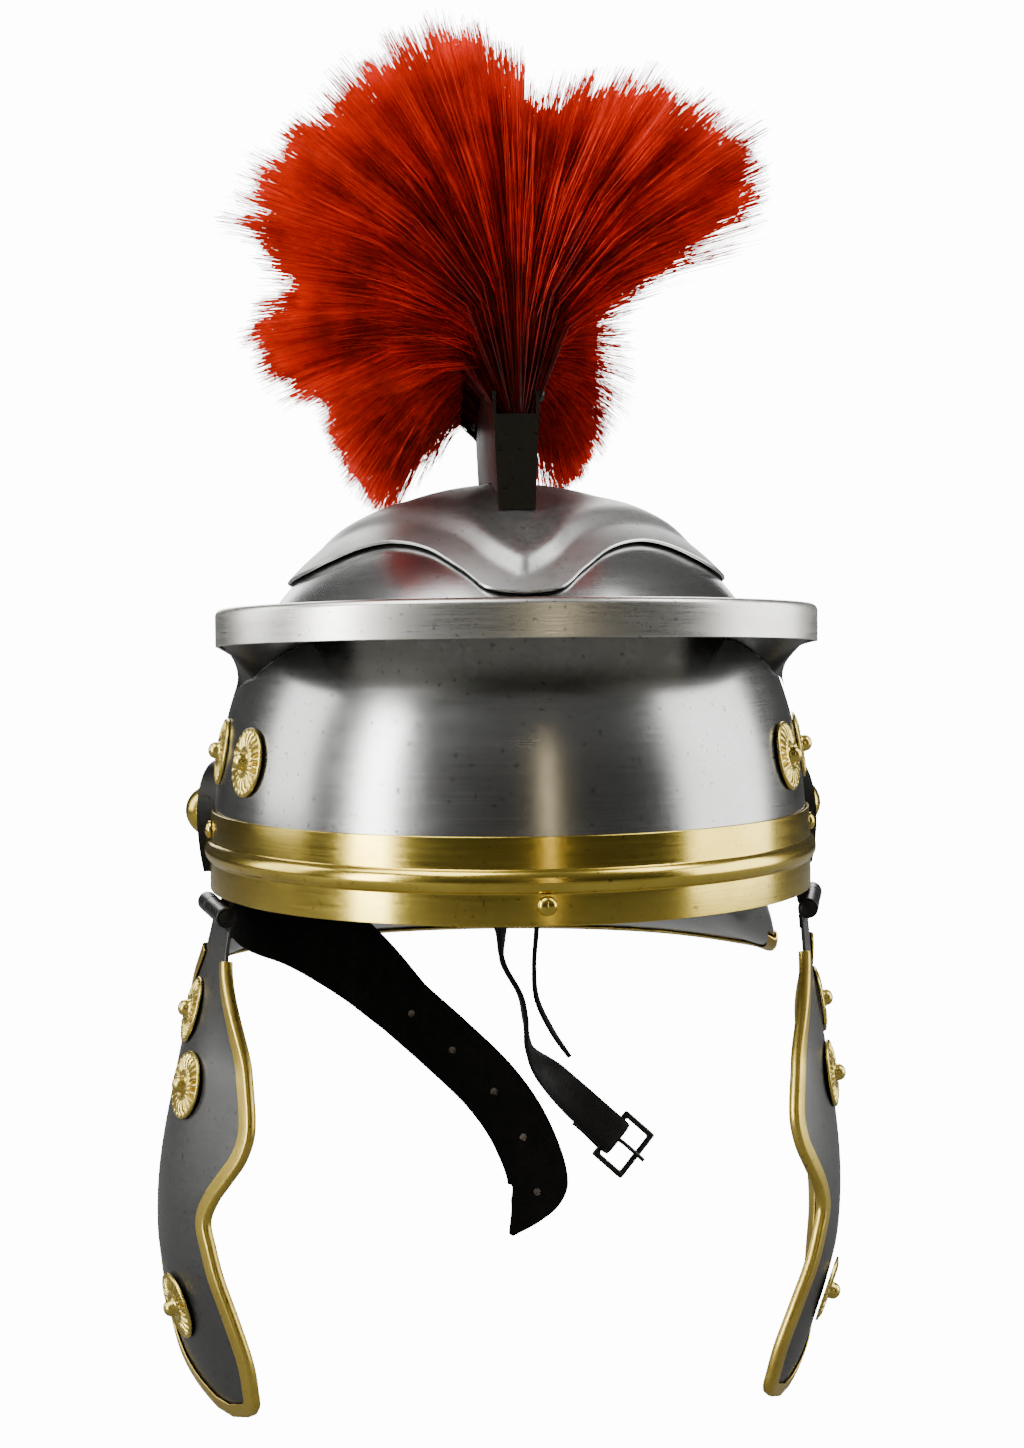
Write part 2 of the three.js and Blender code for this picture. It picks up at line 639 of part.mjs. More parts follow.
// Hair of the crest. Columns are the tilt to the side in degrees, -X first, and the share of
// the hair's length there
const HAIR_OUTLINE = [
  [-95, 0.64], [-87, 0.7], [-79, 0.73], [-71, 0.66], [-66, 0.68], [-59, 0.86], [-47, 0.93],
  [-36, 0.92], [-26, 0.985], [-20, 0.975], [-10, 1.01], [-3, 0.92], [2.5, 0.8], [9.8, 0.77],
  [13.5, 0.86], [21, 0.9], [33, 0.935], [44, 0.91], [51.6, 0.87], [56, 0.68],
];

// The same at the rear of the box, where the hair is shorter and falls to both sides
const HAIR_REAR_OUTLINE = [
  [-125, 0.5], [-100, 0.56], [-60, 0.6], [0, 0.66], [50, 0.55], [90, 0.38], [125, 0.32],
];

// Columns are the share of the box from its front, the lean backward in degrees, and how far
// the hair's fan has changed to the one at the rear
const HAIR_ROWS = [
  [0, -12, 0],
  [0.3, 0, 0],
  [0.6, 14, 0.08],
  [0.8, 28, 0.4],
  [0.92, 37, 0.8],
  [1, 44, 1],
];

// A place in the hair: share across the fan, share along the box, and share out to the tips
function hairPoint(across, along, out, rootHalf) {
  const front = mix(HAIR_RIGHT_TILT, HAIR_LEFT_TILT, across);
  const rear = mix(-HAIR_REAR_TILT, HAIR_REAR_TILT, across);
  const change = readTable(HAIR_ROWS, along, 2);
  const tilt = THREE.MathUtils.degToRad(mix(front, rear, change));
  const lean = THREE.MathUtils.degToRad(readTable(HAIR_ROWS, along, 1));
  const length = HAIR_LENGTH
    * mix(readTable(HAIR_OUTLINE, front, 1), readTable(HAIR_REAR_OUTLINE, rear, 1), change);
  const heading = (share) => {
    const [a, b] = [tilt * share, lean * (0.5 + share / 2)];
    return vec(Math.sin(a) * Math.cos(lean / 2), Math.sin(b), Math.cos(a) * Math.cos(lean));
  };
  const inset = STEEL + 2 * FIT_GAP;
  const back = mix(inset - CREST_FRONT, CREST_BACK - inset, along);
  return vec(mix(-rootHalf, rootHalf, across), back, crestSeat(back) + CREST_SIDE_HEIGHT + 2)
    .addScaledVector(heading(0.28), 0.9 * length * out * (1 - out))
    .addScaledVector(heading(1), length * out * out);
}

// The hair is one body whose tips are locks: each lock ends in a point over its four corners.
function hairBody(rootHalf) {
  const [wide, deep] = [HAIR_LOCKS_ACROSS, HAIR_LOCKS_ALONG];
  const points = [];
  const layer = (out) => {
    const start = points.length;
    for (let i = 0; i <= wide; i += 1) {
      for (let j = 0; j <= deep; j += 1) points.push(hairPoint(i / wide, j / deep, out, rootHalf));
    }
    return (i, j) => start + i * (deep + 1) + j;
  };
  const layers = [0, 0.45, 0.92].map(layer);
  const triangles = [];
  const quad = (a, b, c, d) => triangles.push([a, b, c], [a, c, d]);
  for (let i = 0; i < wide; i += 1) {
    for (let j = 0; j < deep; j += 1) {
      const [root, , low] = layers;
      quad(root(i, j), root(i, j + 1), root(i + 1, j + 1), root(i + 1, j));
      const tip = points.push(hairPoint((i + 0.5) / wide, (j + 0.5) / deep, 1.02, rootHalf)) - 1;
      const corners = [low(i, j), low(i + 1, j), low(i + 1, j + 1), low(i, j + 1)];
      corners.forEach((corner, k) => triangles.push([corner, corners[(k + 1) % 4], tip]));
    }
  }
  for (let k = 0; k < layers.length - 1; k += 1) {
    const [a, b] = [layers[k], layers[k + 1]];
    for (let i = 0; i < wide; i += 1) {
      quad(a(i, 0), a(i + 1, 0), b(i + 1, 0), b(i, 0));
      quad(a(i, deep), b(i, deep), b(i + 1, deep), a(i + 1, deep));
    }
    for (let j = 0; j < deep; j += 1) {
      quad(a(0, j), b(0, j), b(0, j + 1), a(0, j + 1));
      quad(a(wide, j), a(wide, j + 1), b(wide, j + 1), b(wide, j));
    }
  }
  return bodyFrom(points, triangles);
}

function makePlume() {
  const inset = STEEL + FIT_GAP;
  const blockTop = CREST_SIDE_HEIGHT - 5;
  const neckHalf = crestHalfAt(blockTop) - inset;
  const above = (height) => (y) => crestSeat(y) + height;
  const prism = (footHalf, topHalf, low, high) => (
    crestPrism(inset - CREST_FRONT, CREST_BACK - inset, footHalf, topHalf, above(low), above(high))
  );
  const block = prism(crestHalfAt(inset) - inset, neckHalf, inset, blockTop);
  const neck = prism(neckHalf, neckHalf, blockTop - 0.5, CREST_SIDE_HEIGHT + 4);
  const holes = crestPinSpots().map(([, back]) => (
    crestPinBar(CREST_PIN_RADIUS + FIT_GAP, CREST_TOP_WIDTH, back, crestPinHeight(back))
  ));
  // The hair spreads only above the box, so its walls stay clear of it.
  place(assembly, 'crest_plume', cut(join([block, neck, hairBody(0.9 * neckHalf)]), holes), hair());
}

// Rosettes: a dished disc with flutes and a raised ring, and a knob riveted through its middle
function rosetteDisc() {
  const slices = 2 * ROSETTE_FLUTES;
  const shank = KNOB_RADIUS * 0.45 + FIT_GAP;
  const rings = [
    [shank, 0.9, 0], [KNOB_RADIUS + 1.4, 1, 0], [ROSETTE_RADIUS, 0.3, 0.4],
  ];
  const turns = spread(slices, 0, FULL_TURN).slice(0, -1);
  const top = turns.map((turn, i) => rings.map(([r, high, flute]) => (
    vec(r * Math.cos(turn), r * Math.sin(turn), ROSETTE_DISH * (high + (i % 2 ? flute : 0)))
  )));
  // The underside is flat, so it needs only the rings at its two rims.
  const under = turns.map((turn) => [shank, ROSETTE_RADIUS].map(
    (r) => vec(r * Math.cos(turn), r * Math.sin(turn), 0),
  ));
  return hoop(top.map((row, i) => [...row, under[i][1], under[i][0]]));
}

function rosetteKnob() {
  const r = KNOB_RADIUS;
  const seat = ROSETTE_DISH + FIT_GAP;
  return turned([
    [0, 0], [0.45 * r, 0], [0.45 * r, seat], [0.95 * r, seat], [0.9 * r, seat + r], [0, seat + 1.65 * r],
  ], 6);
}

function placeRosette(parent, name, point, direction) {
  standOn(place(parent, name, rosetteDisc(), brass()), point, direction);
  standOn(place(parent, `${name}_knob`, rosetteKnob(), brass()), point, direction);
}

// Rosettes on the bowl: turn from the brow as a share of a quarter turn, height share, and the
// share of the facets' sag that it is set in by
const BOWL_ROSETTES = [['front', 0.68, 0.338, 0], ['back', 0.885, 0.35, 1]];

function makeBowlRosettes() {
  for (const [side, name] of [[1, 'left'], [-1, 'right']]) {
    for (const [spot, along, up, set] of BOWL_ROSETTES) {
      const turn = side * along * QUARTER_TURN;
      const climb = climbAt(up * BOWL_HEIGHT);
      placeRosette(assembly, `bowl_rosette_${spot}_${name}`,
        domePoint(turn, climb, 1.2 * FIT_GAP - set * BOWL_FACET_SAG), domeNormal(turn, climb));
    }
  }
}

// Cheek guard outline: columns are the share of its length, and the front and back edges
// as shares of its width
const CHEEK_OUTLINE = [
  [0.03, 0.2, -0.2],
  [0.1, 0.21, -0.24],
  [0.2, 0.32, -0.4],
  [0.3, 0.42, -0.46],
  [0.4, 0.49, -0.49],
  [0.46, 0.48, -0.5],
  [0.51, 0.43, -0.5],
  [0.56, 0.37, -0.5],
  [0.61, 0.335, -0.49],
  [0.66, 0.37, -0.47],
  [0.77, 0.446, -0.4],
  [0.86, 0.48, -0.29],
  [0.93, 0.47, -0.13],
  [0.975, 0.43, 0.05],
  [1, 0.3, 0.2],
];

// Side view of the plate: share of the length, and how far out it stands in bulges
const CHEEK_PROFILE = [
  [0, 0], [0.15, 0.2], [0.35, 0.75], [0.55, 1], [0.7, 0.85], [0.8, 0.4], [0.88, -0.4], [0.95, -1.4],
  [1, -2.3],
];

// A point of the plate's outer face in the hinge's frame: x out, y back along the pin, z up
function cheekPoint(down, forward, lift, twist) {
  const sink = (s, w) => {
    const curl = THREE.MathUtils.smoothstep(s, 0.03, 0.3);
    return STEEL - HINGE_RADIUS + CHEEK_BULGE * readTable(CHEEK_PROFILE, s, 1)
      - curl * ((w * w) / (2 * CHEEK_CURVE_RADIUS) + w * Math.tan(twist));
  };
  const at = (s, w) => vec(sink(s, w), -w, -s * CHEEK_LENGTH);
  const step = 0.01;
  const downward = at(Math.min(down + step, 1), forward).sub(at(down - step, forward));
  const along = at(down, forward + 1).sub(at(down, forward - 1));
  const normal = downward.cross(along).normalize();
  if (normal.x < 0) normal.negate();
  return { point: at(down, forward).addScaledVector(normal, lift), normal };
}

const cheekStations = spread(15, CHEEK_OUTLINE[0][0], 1).map((down) => (
  [down, readTable(CHEEK_OUTLINE, down, 1), readTable(CHEEK_OUTLINE, down, 2)]
));
const CHEEK_COLUMNS = [0, 0.08, 0.36, 0.64, 0.92, 1];

function cheekPlate(twist) {
  const row = ([down, front, back], lift) => CHEEK_COLUMNS.map(
    (share) => cheekPoint(down, mix(front, back, share) * CHEEK_WIDTH, lift, twist).point,
  );
  return sheet(cheekStations.map((s) => row(s, 0)), cheekStations.map((s) => row(s, -STEEL)));
}

function cheekEdging(twist) {
  const below = cheekStations.slice(1);
  const front = below.map(([down, edge]) => [down, edge]);
  const back = below.map(([down, , edge]) => [down, edge]).reverse();
  const path = [...front, ...back].map(([down, across]) => (
    cheekPoint(down, across * CHEEK_WIDTH, -STEEL / 2, twist)
  ));
  const outline = path.map(({ point, normal }, i) => {
    const before = path[Math.max(i - 1, 0)].point;
    const after = path[Math.min(i + 1, path.length - 1)].point;
    const out = after.clone().sub(before).cross(normal).normalize();
    return { at: point, out, up: normal };
  });
  const centre = cheekPoint(0.5, 0, 0, twist).point;
  const sample = outline[8];
  if (sample.out.dot(sample.at.clone().sub(centre)) < 0) outline.forEach((spot) => spot.out.negate());
  return edging(outline, CHEEK_EDGE_FACE, BRASS, 0);
}

// Hinge barrel: three knuckles, the outer two on the cheek guard, the middle one on the helmet
function barrel(from, to, bore) {
  const ring = new THREE.Shape().absarc(0, 0, HINGE_RADIUS, 0, FULL_TURN);
  ring.holes.push(new THREE.Path().absarc(0, 0, bore, 0, FULL_TURN, true));
  const tube = new THREE.ExtrudeGeometry(ring, {
    depth: to - from, bevelEnabled: false, curveSegments: 7,
  });
  return tube.rotateX(-QUARTER_TURN).translate(0, from, 0);
}

const knuckle = HINGE_LENGTH / 3;
const hingeBore = HINGE_PIN_RADIUS * 1.06 + FIT_GAP;

function hingeFrame(side) {
  const rim = wallPoint(turnAtBack(-HINGE_CENTRE_FORWARD), 0, HINGE_OUT);
  const normal = domeNormal(turnAtBack(-HINGE_CENTRE_FORWARD), 0);
  const frame = new THREE.Group();
  frame.position.set(rim.x, rim.y, -HINGE_DROP);
  const out = vec(normal.x, normal.y, 0).normalize();
  const back = vec(-out.y, out.x, Math.tan(HINGE_RISE)).normalize();
  const up = out.clone().cross(back).normalize();
  frame.quaternion.setFromRotationMatrix(new THREE.Matrix4().makeBasis(out, back, up));
  const half = new THREE.Group();
  half.scale.x = side;
  half.add(frame);
  assembly.add(half);
  return frame;
}

// Rosettes on a cheek guard: share of the length down, and share of the width forward
const CHEEK_ROSETTES = [['upper', 0.225, -0.16], ['middle', 0.365, 0.04], ['lower', 0.82, 0.06]];

function makeCheek(side, name, splay, twist) {
  const frame = hingeFrame(side);
  const swing = new THREE.Group();
  swing.rotation.y = -splay;
  frame.add(swing);

  const width = HINGE_LENGTH / 2 - knuckle / 2 - FIT_GAP;
  const inner = knuckle / 2 + FIT_GAP;
  const ends = [barrel(-inner - width, -inner, hingeBore), barrel(inner, inner + width, hingeBore)];
  // Two tongues run from the plate up to the side of each knuckle.
  const top = CHEEK_OUTLINE[0][0] * 1.4 * CHEEK_LENGTH;
  const tongues = [-1, 1].map((end) => (
    new THREE.BoxGeometry(STEEL, 0.8 * width, top)
      .translate(STEEL / 2 - HINGE_RADIUS, end * (inner + 0.4 * width), -top / 2)
  ));
  place(swing, `cheek_guard_${name}`, join([cheekPlate(twist), ...ends, ...tongues]), steel());
  place(swing, `cheek_edging_${name}`, cheekEdging(twist), brass());
  for (const [spot, down, forward] of CHEEK_ROSETTES) {
    const { point, normal } = cheekPoint(down, forward * CHEEK_WIDTH, FIT_GAP * 1.3, twist);
    placeRosette(swing, `cheek_rosette_${spot}_${name}`, point, normal);
  }

  const pin = new THREE.CylinderGeometry(HINGE_PIN_RADIUS, HINGE_PIN_RADIUS, HINGE_LENGTH + 1, 8);
  const headAt = HINGE_LENGTH / 2 + FIT_GAP;
  const heads = [-1, 1].map((end) => (
    new THREE.CylinderGeometry(1.7 * HINGE_PIN_RADIUS, 1.7 * HINGE_PIN_RADIUS, 1, 8)
      .translate(0, end * (headAt + 0.5), 0)
  ));
  place(frame, `hinge_pin_${name}`, join([pin, ...heads]), darkSteel());
  makeHingeLeaf(frame, name);
}

// The leaf runs from the middle knuckle straight up the inside of the bowl.
function makeHingeLeaf(frame, name) {
  const wall = domePoint(turnAtBack(-HINGE_CENTRE_FORWARD), 0, -STEEL - FIT_GAP);
  const toWall = Math.hypot(wall.x - frame.position.x, wall.y - frame.position.y) + HINGE_LEAF_ROOM;
  const half = knuckle / 2 - FIT_GAP;
  // Each row is a place out and up, and how much wider than the knuckle the leaf is there.
  const line = [
    [-0.8 * HINGE_RADIUS, 0, 0], [-toWall, 0.7 * HINGE_DROP, 0], [-toWall, HINGE_DROP + 3, 1.5],
    [-toWall - 0.6, HINGE_DROP + 0.6 * HINGE_LEAF_HEIGHT, 2],
    [-toWall - 1.5, HINGE_DROP + HINGE_LEAF_HEIGHT, 1],
  ];
  const faces = line.map(([x, z, wider], i) => {
    const [x0, z0] = line[Math.max(i - 1, 0)];
    const [x1, z1] = line[Math.min(i + 1, line.length - 1)];
    const across = vec(z0 - z1, 0, x1 - x0).setLength(STEEL);
    const outer = [-1, 0, 1].map((share) => vec(x, share * (half + wider), z));
    return { outer, inner: outer.map((point) => point.clone().add(across)) };
  });
  const leaf = sheet(faces.map((f) => f.outer), faces.map((f) => f.inner));
  const knuckleTube = barrel(-knuckle / 2, knuckle / 2, hingeBore);
  place(frame, `hinge_leaf_${name}`, join([leaf, knuckleTube]), darkSteel());
}

// Straps: a ribbon along a smooth line, with its own width and facing at each station
function ribbonStations(rows, count) {
  const line = new THREE.CatmullRomCurve3(rows.map((row) => row.at), false, 'centripetal');
  const last = rows.length - 1;
  return spread(count).map((share) => {
    const at = line.getPoint(share);
    const i = Math.min(Math.floor(share * last), last - 1);
    const blend = share * last - i;
    const along = line.getTangent(share);
    const face = rows[i].face.clone().lerp(rows[i + 1].face, blend);
    face.addScaledVector(along, -face.dot(along)).normalize();
    const half = mix(rows[i].width, rows[i + 1].width, blend) / 2;
    return { at, along, face, across: along.clone().cross(face).normalize(), half };
  });
}

function ribbon(stations, thick) {
  const side = (lift) => stations.map(({ at, face, across, half }) => [-1, 1].map((edge) => (
    at.clone().addScaledVector(across, edge * half).addScaledVector(face, lift)
  )));
  return sheet(side(thick / 2), side(-thick / 2));
}

// A strap's root lies flat on the inside of the wall; a wide strap stands off by its edges.
function strapRoot(turn, width, thick) {
  const curve = BOWL_HALF_LENGTH ** 2 / BOWL_HALF_WIDTH;
  const off = STEEL + 3 * FIT_GAP + thick / 2 + (width / 2) ** 2 / (2 * Math.min(curve, BOWL_HALF_WIDTH));
  const face = domeNormal(turn, 0).negate();
  return [STRAP_ROOT_HEIGHT, STRAP_ROOT_FOOT].map((height) => (
    { at: wallPoint(turn, height, -off), face: face.clone(), width }
  ));
}

function strapRivet(name, root, thick) {
  const mesh = place(assembly, name, rivetHead(RIVET_RADIUS, RIVET_HEIGHT), darkSteel());
  standOn(mesh, root.at.clone().addScaledVector(root.face, thick / 2 + FIT_GAP), root.face);
}

// Holed strap below the rim: shares of its reach and drop, its width from the root's to the
// strap's, the facing in degrees from the wall toward the brow, and the taper of its end
const HOLED_ROWS = [
  [0.05, 0.045, 0, 22, 1],
  [0.24, 0.12, 0.25, 58, 1],
  [0.42, 0.235, 0.62, 80, 1],
  [0.565, 0.357, 1, 90, 1],
  [0.69, 0.456, 1, 90, 1],
  [0.85, 0.596, 1, 90, 1],
  [0.945, 0.725, 1, 90, 1],
  [0.995, 0.87, 1, 90, 1],
  [0.975, 0.95, 1, 90, 0.8],
  [0.94, 1, 1, 90, 0.25],
];

function makeHoledStrap() {
  const turn = -turnAtBack(HOLED_STRAP_ROOT_BACK);
  const root = strapRoot(turn, HOLED_STRAP_ROOT_WIDTH, LEATHER);
  const start = root[1].at;
  const rows = HOLED_ROWS.map(([reach, drop, narrow, facing, taper]) => {
    const turned = THREE.MathUtils.degToRad(facing);
    return {
      at: vec(start.x + reach * HOLED_STRAP_REACH, start.y - 3 * Math.sin(turned), -drop * HOLED_STRAP_DROP),
      face: vec(Math.cos(turned), -Math.sin(turned), 0),
      width: mix(HOLED_STRAP_ROOT_WIDTH, HOLED_STRAP_WIDTH, narrow) * taper,
    };
  });
  const stations = ribbonStations([...root, ...rows], 24);
  const strap = ribbon(stations, LEATHER);

  // Holes are counted back from the strap's end along its middle line.
  const holes = [];
  let walked = 0;
  let next = STRAP_HOLE_FROM_END;
  for (let i = stations.length - 1; i > 0 && holes.length < STRAP_HOLE_COUNT; i -= 1) {
    const [from, to] = [stations[i], stations[i - 1]];
    const step = from.at.distanceTo(to.at);
    while (walked + step >= next && holes.length < STRAP_HOLE_COUNT) {
      const at = from.at.clone().lerp(to.at, (next - walked) / step);
      const punch = turned([[0, -3], [STRAP_HOLE_RADIUS, -3], [STRAP_HOLE_RADIUS, 3], [0, 3]], 8);
      const facing = new THREE.Quaternion().setFromUnitVectors(vec(0, 0, 1), from.face);
      holes.push(punch.applyQuaternion(facing).translate(at.x, at.y, at.z));
      next += STRAP_HOLE_PITCH;
    }
    walked += step;
  }
  place(assembly, 'holed_strap', cut(strap, holes), leather());
  strapRivet('holed_strap_rivet', root[0], LEATHER);
}

// Buckle strap: shares of its swing and drop, and the facing in degrees from the brow toward +X
const BUCKLE_ROWS = [
  [0, 0.13, 25],
  [0, 0.3, 75],
  [0.01, 0.4, 90],
  [0.17, 0.52, 90],
  [0.21, 0.6, 90],
  [0.25, 0.71, 80],
  [0.5, 0.82, 48],
  [0.78, 0.925, 25],
  [1, 1, 25],
];

function facingFromBrow(degrees) {
  const turned = THREE.MathUtils.degToRad(degrees);
  return vec(Math.sin(turned), -Math.cos(turned), 0);
}

function makeBuckleStrap() {
  const turn = Math.PI - Math.asin(BUCKLE_STRAP_ASIDE / BOWL_HALF_WIDTH);
  const root = strapRoot(turn, BUCKLE_STRAP_WIDTH, LEATHER);
  const start = root[1].at;
  const rows = BUCKLE_ROWS.map(([swing, drop, facing]) => ({
    at: vec(start.x + swing * BUCKLE_STRAP_SWING, start.y - 8 * drop, -drop * BUCKLE_STRAP_DROP),
    face: facingFromBrow(facing),
    width: BUCKLE_STRAP_WIDTH,
  }));
  const stations = ribbonStations([...root, ...rows], 24);
  const end = stations[stations.length - 1];

  // The end goes round the buckle's bar and comes back behind itself.
  const barHalf = BUCKLE_WIRE / 2 * Math.SQRT2;
  const loop = barHalf + FIT_GAP + LEATHER / 2;
  const bar = end.at.clone().addScaledVector(end.face, -loop);
  const around = (angle) => bar.clone()
    .addScaledVector(end.face, loop * Math.cos(angle)).addScaledVector(end.along, loop * Math.sin(angle));
  const outward = (angle) => end.face.clone().multiplyScalar(Math.cos(angle))
    .addScaledVector(end.along, Math.sin(angle));
  for (const angle of spread(6, 0, Math.PI).slice(1)) {
    stations.push({ ...end, at: around(angle), face: outward(angle) });
  }
  const plies = loop - (LEATHER + FIT_GAP) / 2;
  for (const [backward, closer] of [[0.3, 0.4], [0.6, 1], [1, 1]]) {
    stations.push({
      ...end,
      at: around(Math.PI).addScaledVector(end.along, -backward * BUCKLE_PLY_LENGTH)
        .addScaledVector(end.face, closer * 1.2 * plies),
      face: end.face.clone().negate(),
    });
  }
  const frame = new THREE.Matrix4().makeBasis(end.across, end.along, end.face).setPosition(bar);
  const slot = new THREE.BoxGeometry(BUCKLE_SLOT_WIDTH, BUCKLE_SLOT_LENGTH, 4 * loop).applyMatrix4(frame);
  place(assembly, 'buckle_strap', cut(ribbon(stations, LEATHER), [slot]), leather());
  strapRivet('buckle_strap_rivet', root[0], LEATHER);
  makeBuckle(frame, barHalf);
}

function makeBuckle(frame, barHalf) {
  const [halfWidth, wire] = [BUCKLE_FRAME_WIDTH / 2, BUCKLE_WIRE];
  const rectangle = (shape, half, low, high) => shape.moveTo(-half, low).lineTo(half, low)
    .lineTo(half, high).lineTo(-half, high).closePath();
  const ring = rectangle(new THREE.Shape(), halfWidth, -wire / 2, BUCKLE_FRAME_LENGTH - wire / 2);
  ring.holes.push(rectangle(new THREE.Path(), halfWidth - wire, wire / 2,
    BUCKLE_FRAME_LENGTH - 1.5 * wire));
  const flat = new THREE.ExtrudeGeometry(ring, { depth: wire, bevelEnabled: false });
  place(assembly, 'buckle_frame', flat.translate(0, 0, -wire / 2).applyMatrix4(frame), darkSteel());

  const hook = barHalf + FIT_GAP + PRONG_RADIUS;
  const far = BUCKLE_FRAME_LENGTH - wire / 2;
  const points = spread(7, -0.9 * Math.PI, 0.35 * Math.PI).map((angle) => (
    vec(0, -hook * Math.sin(-angle), hook * Math.cos(angle))
  ));
  points.push(vec(0, 0.5 * far, hook * 0.95), vec(0, far + wire, wire / 2 + FIT_GAP + PRONG_RADIUS));
  const line = new THREE.CatmullRomCurve3(points, false, 'centripetal');
  const round = new THREE.Shape().absarc(0, 0, PRONG_RADIUS, 0, FULL_TURN);
  const tube = new THREE.ExtrudeGeometry(round, {
    steps: 12, curveSegments: 3, extrudePath: line, bevelEnabled: false,
  });
  place(assembly, 'buckle_prong', tube.applyMatrix4(frame), darkSteel());
}

// Tie strap: shares of its swing and drop, facing from the brow toward +X, and taper
const TIE_ROWS = [
  [0, 0.14, 30, 1],
  [-0.02, 0.38, 80, 1],
  [-0.12, 0.57, 85, 1],
  [-0.05, 0.72, 80, 1],
  [0.45, 0.88, 75, 0.7],
  [1, 1, 70, 0.12],
];

function makeTieStrap() {
  const turn = Math.PI - Math.asin(TIE_STRAP_ASIDE / BOWL_HALF_WIDTH);
  const root = strapRoot(turn, TIE_STRAP_WIDTH, TIE_STRAP_THICKNESS);
  const start = root[1].at;
  const rows = TIE_ROWS.map(([swing, drop, facing, taper]) => ({
    at: vec(start.x + swing * TIE_STRAP_SWING, start.y - 6 * drop, -drop * TIE_STRAP_DROP),
    face: facingFromBrow(facing),
    width: TIE_STRAP_WIDTH * taper,
  }));
  const strap = ribbon(ribbonStations([...root, ...rows], 20), TIE_STRAP_THICKNESS);
  place(assembly, 'tie_strap', strap, leather());
  strapRivet('tie_strap_rivet', root[0], TIE_STRAP_THICKNESS);
}

makeBowl();
makeCrownPlate();
makePeak();
makeBand();
makeNeckGuard();
makeEarGuard(1, 'left');
makeEarGuard(-1, 'right');
makeEarBoss(1, 'left');
makeEarBoss(-1, 'right');
makeCrestBox();
makePlume();
makeBowlRosettes();
makeCheek(1, 'left', CHEEK_SPLAY_LEFT, CHEEK_TWIST_LEFT);
makeCheek(-1, 'right', CHEEK_SPLAY_RIGHT, CHEEK_TWIST_RIGHT);
makeHoledStrap();
makeBuckleStrap();
makeTieStrap();

export default helmet;
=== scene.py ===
"""Roman legionary helmet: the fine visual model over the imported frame.

Shapes are worked out in millimetres above the plane of the bowl's rim and turned into the
frame's metres when a mesh is made. -Y is the brow and +X is the wearer's left.
"""
import math

import bmesh
import bpy
import numpy as np
from mathutils import Matrix, Vector


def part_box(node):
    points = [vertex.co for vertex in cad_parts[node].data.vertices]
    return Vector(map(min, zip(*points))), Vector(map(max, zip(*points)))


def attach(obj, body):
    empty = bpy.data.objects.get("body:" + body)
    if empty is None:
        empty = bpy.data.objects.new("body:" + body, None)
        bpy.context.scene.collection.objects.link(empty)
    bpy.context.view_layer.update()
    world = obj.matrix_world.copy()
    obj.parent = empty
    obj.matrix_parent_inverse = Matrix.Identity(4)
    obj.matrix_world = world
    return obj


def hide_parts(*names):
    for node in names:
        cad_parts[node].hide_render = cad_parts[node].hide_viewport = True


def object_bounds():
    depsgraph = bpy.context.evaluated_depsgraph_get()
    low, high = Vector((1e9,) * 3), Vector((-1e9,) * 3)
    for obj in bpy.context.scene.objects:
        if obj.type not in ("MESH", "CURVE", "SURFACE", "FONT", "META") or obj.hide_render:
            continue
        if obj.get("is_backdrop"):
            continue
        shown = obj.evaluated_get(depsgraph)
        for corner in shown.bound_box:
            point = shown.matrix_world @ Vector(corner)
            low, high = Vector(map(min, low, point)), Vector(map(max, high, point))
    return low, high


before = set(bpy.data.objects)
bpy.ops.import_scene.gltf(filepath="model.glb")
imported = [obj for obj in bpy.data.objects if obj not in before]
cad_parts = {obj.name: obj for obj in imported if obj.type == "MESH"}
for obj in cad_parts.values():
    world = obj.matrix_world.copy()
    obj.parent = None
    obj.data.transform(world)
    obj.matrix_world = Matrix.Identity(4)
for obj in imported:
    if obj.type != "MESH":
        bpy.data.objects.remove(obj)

bl_info = {
    "name": "Roman helmet",
    "version": (1, 0, 0),
    "blender": (4, 5, 0),
    "location": "3D View > Sidebar > Helmet",
    "description": "Builds a crested roman helmet with cheek guards and straps over its frame",
    "category": "Add Mesh",
}

# Driving sizes in millimetres, turns in radians, and shares of other sizes
MM = 0.001
STEEL = 1.2
BRASS = 0.8
LEATHER = 2.2
FIT_GAP = 0.35
SHEET_GAP = 0.95
BOWL_HALF_WIDTH = 99.5
BOWL_HALF_LENGTH = 118.5
BOWL_HEIGHT = 131.5
BOWL_SQUARENESS = 2.7
CROWN_EDGE_DROP = 19.8
CROWN_RIDGE_DROP = 10.5
CROWN_RIDGE_RAISE = 2.3
CROWN_RIDGE_WIDTH = 9
PEAK_REACH = 128
PEAK_HALF_WIDTH = 95
PEAK_FACE_HEIGHT = 11.6
PEAK_TOP_HEIGHT = 95.3
PEAK_TILT = math.radians(2.4)
PEAK_END_DROP = 4.5
PEAK_RETURN_DROP = 10
PEAK_RETURN_FIRST = 0.7
PEAK_RETURN_FULL = 1.15
PEAK_RETURN_LAST = 1.92
PEAK_CORNER = 2.2
PEAK_TAB_TURN = math.radians(79)
PEAK_WIDEST = -0.42
PEAK_ENDS = 1.93
BAND_HEIGHT = 26
BAND_BEAD_HEIGHT = 13
BAND_BEAD_WIDTH = 6.8
BAND_BEAD_RAISE = 1.9
BAND_END_TURN = math.radians(86)
NECK_OVERLAP = 12
NECK_DROP = 37
NECK_REACH = 46
NECK_HALF_TURN = math.radians(66)
NECK_LIP = 3.2
EDGING_ROUND_OUT = 0.75
EDGING_ROUND_IN = 0.6
EDGING_LEAF = 0.55
EAR_CENTRE_BACK = 20
EAR_HALF_WIDTH = 24
EAR_HEIGHT = 39.5
EAR_FLANGE = 6
EAR_FLANGE_LOWEST = 0.3
EAR_LEAF = 5
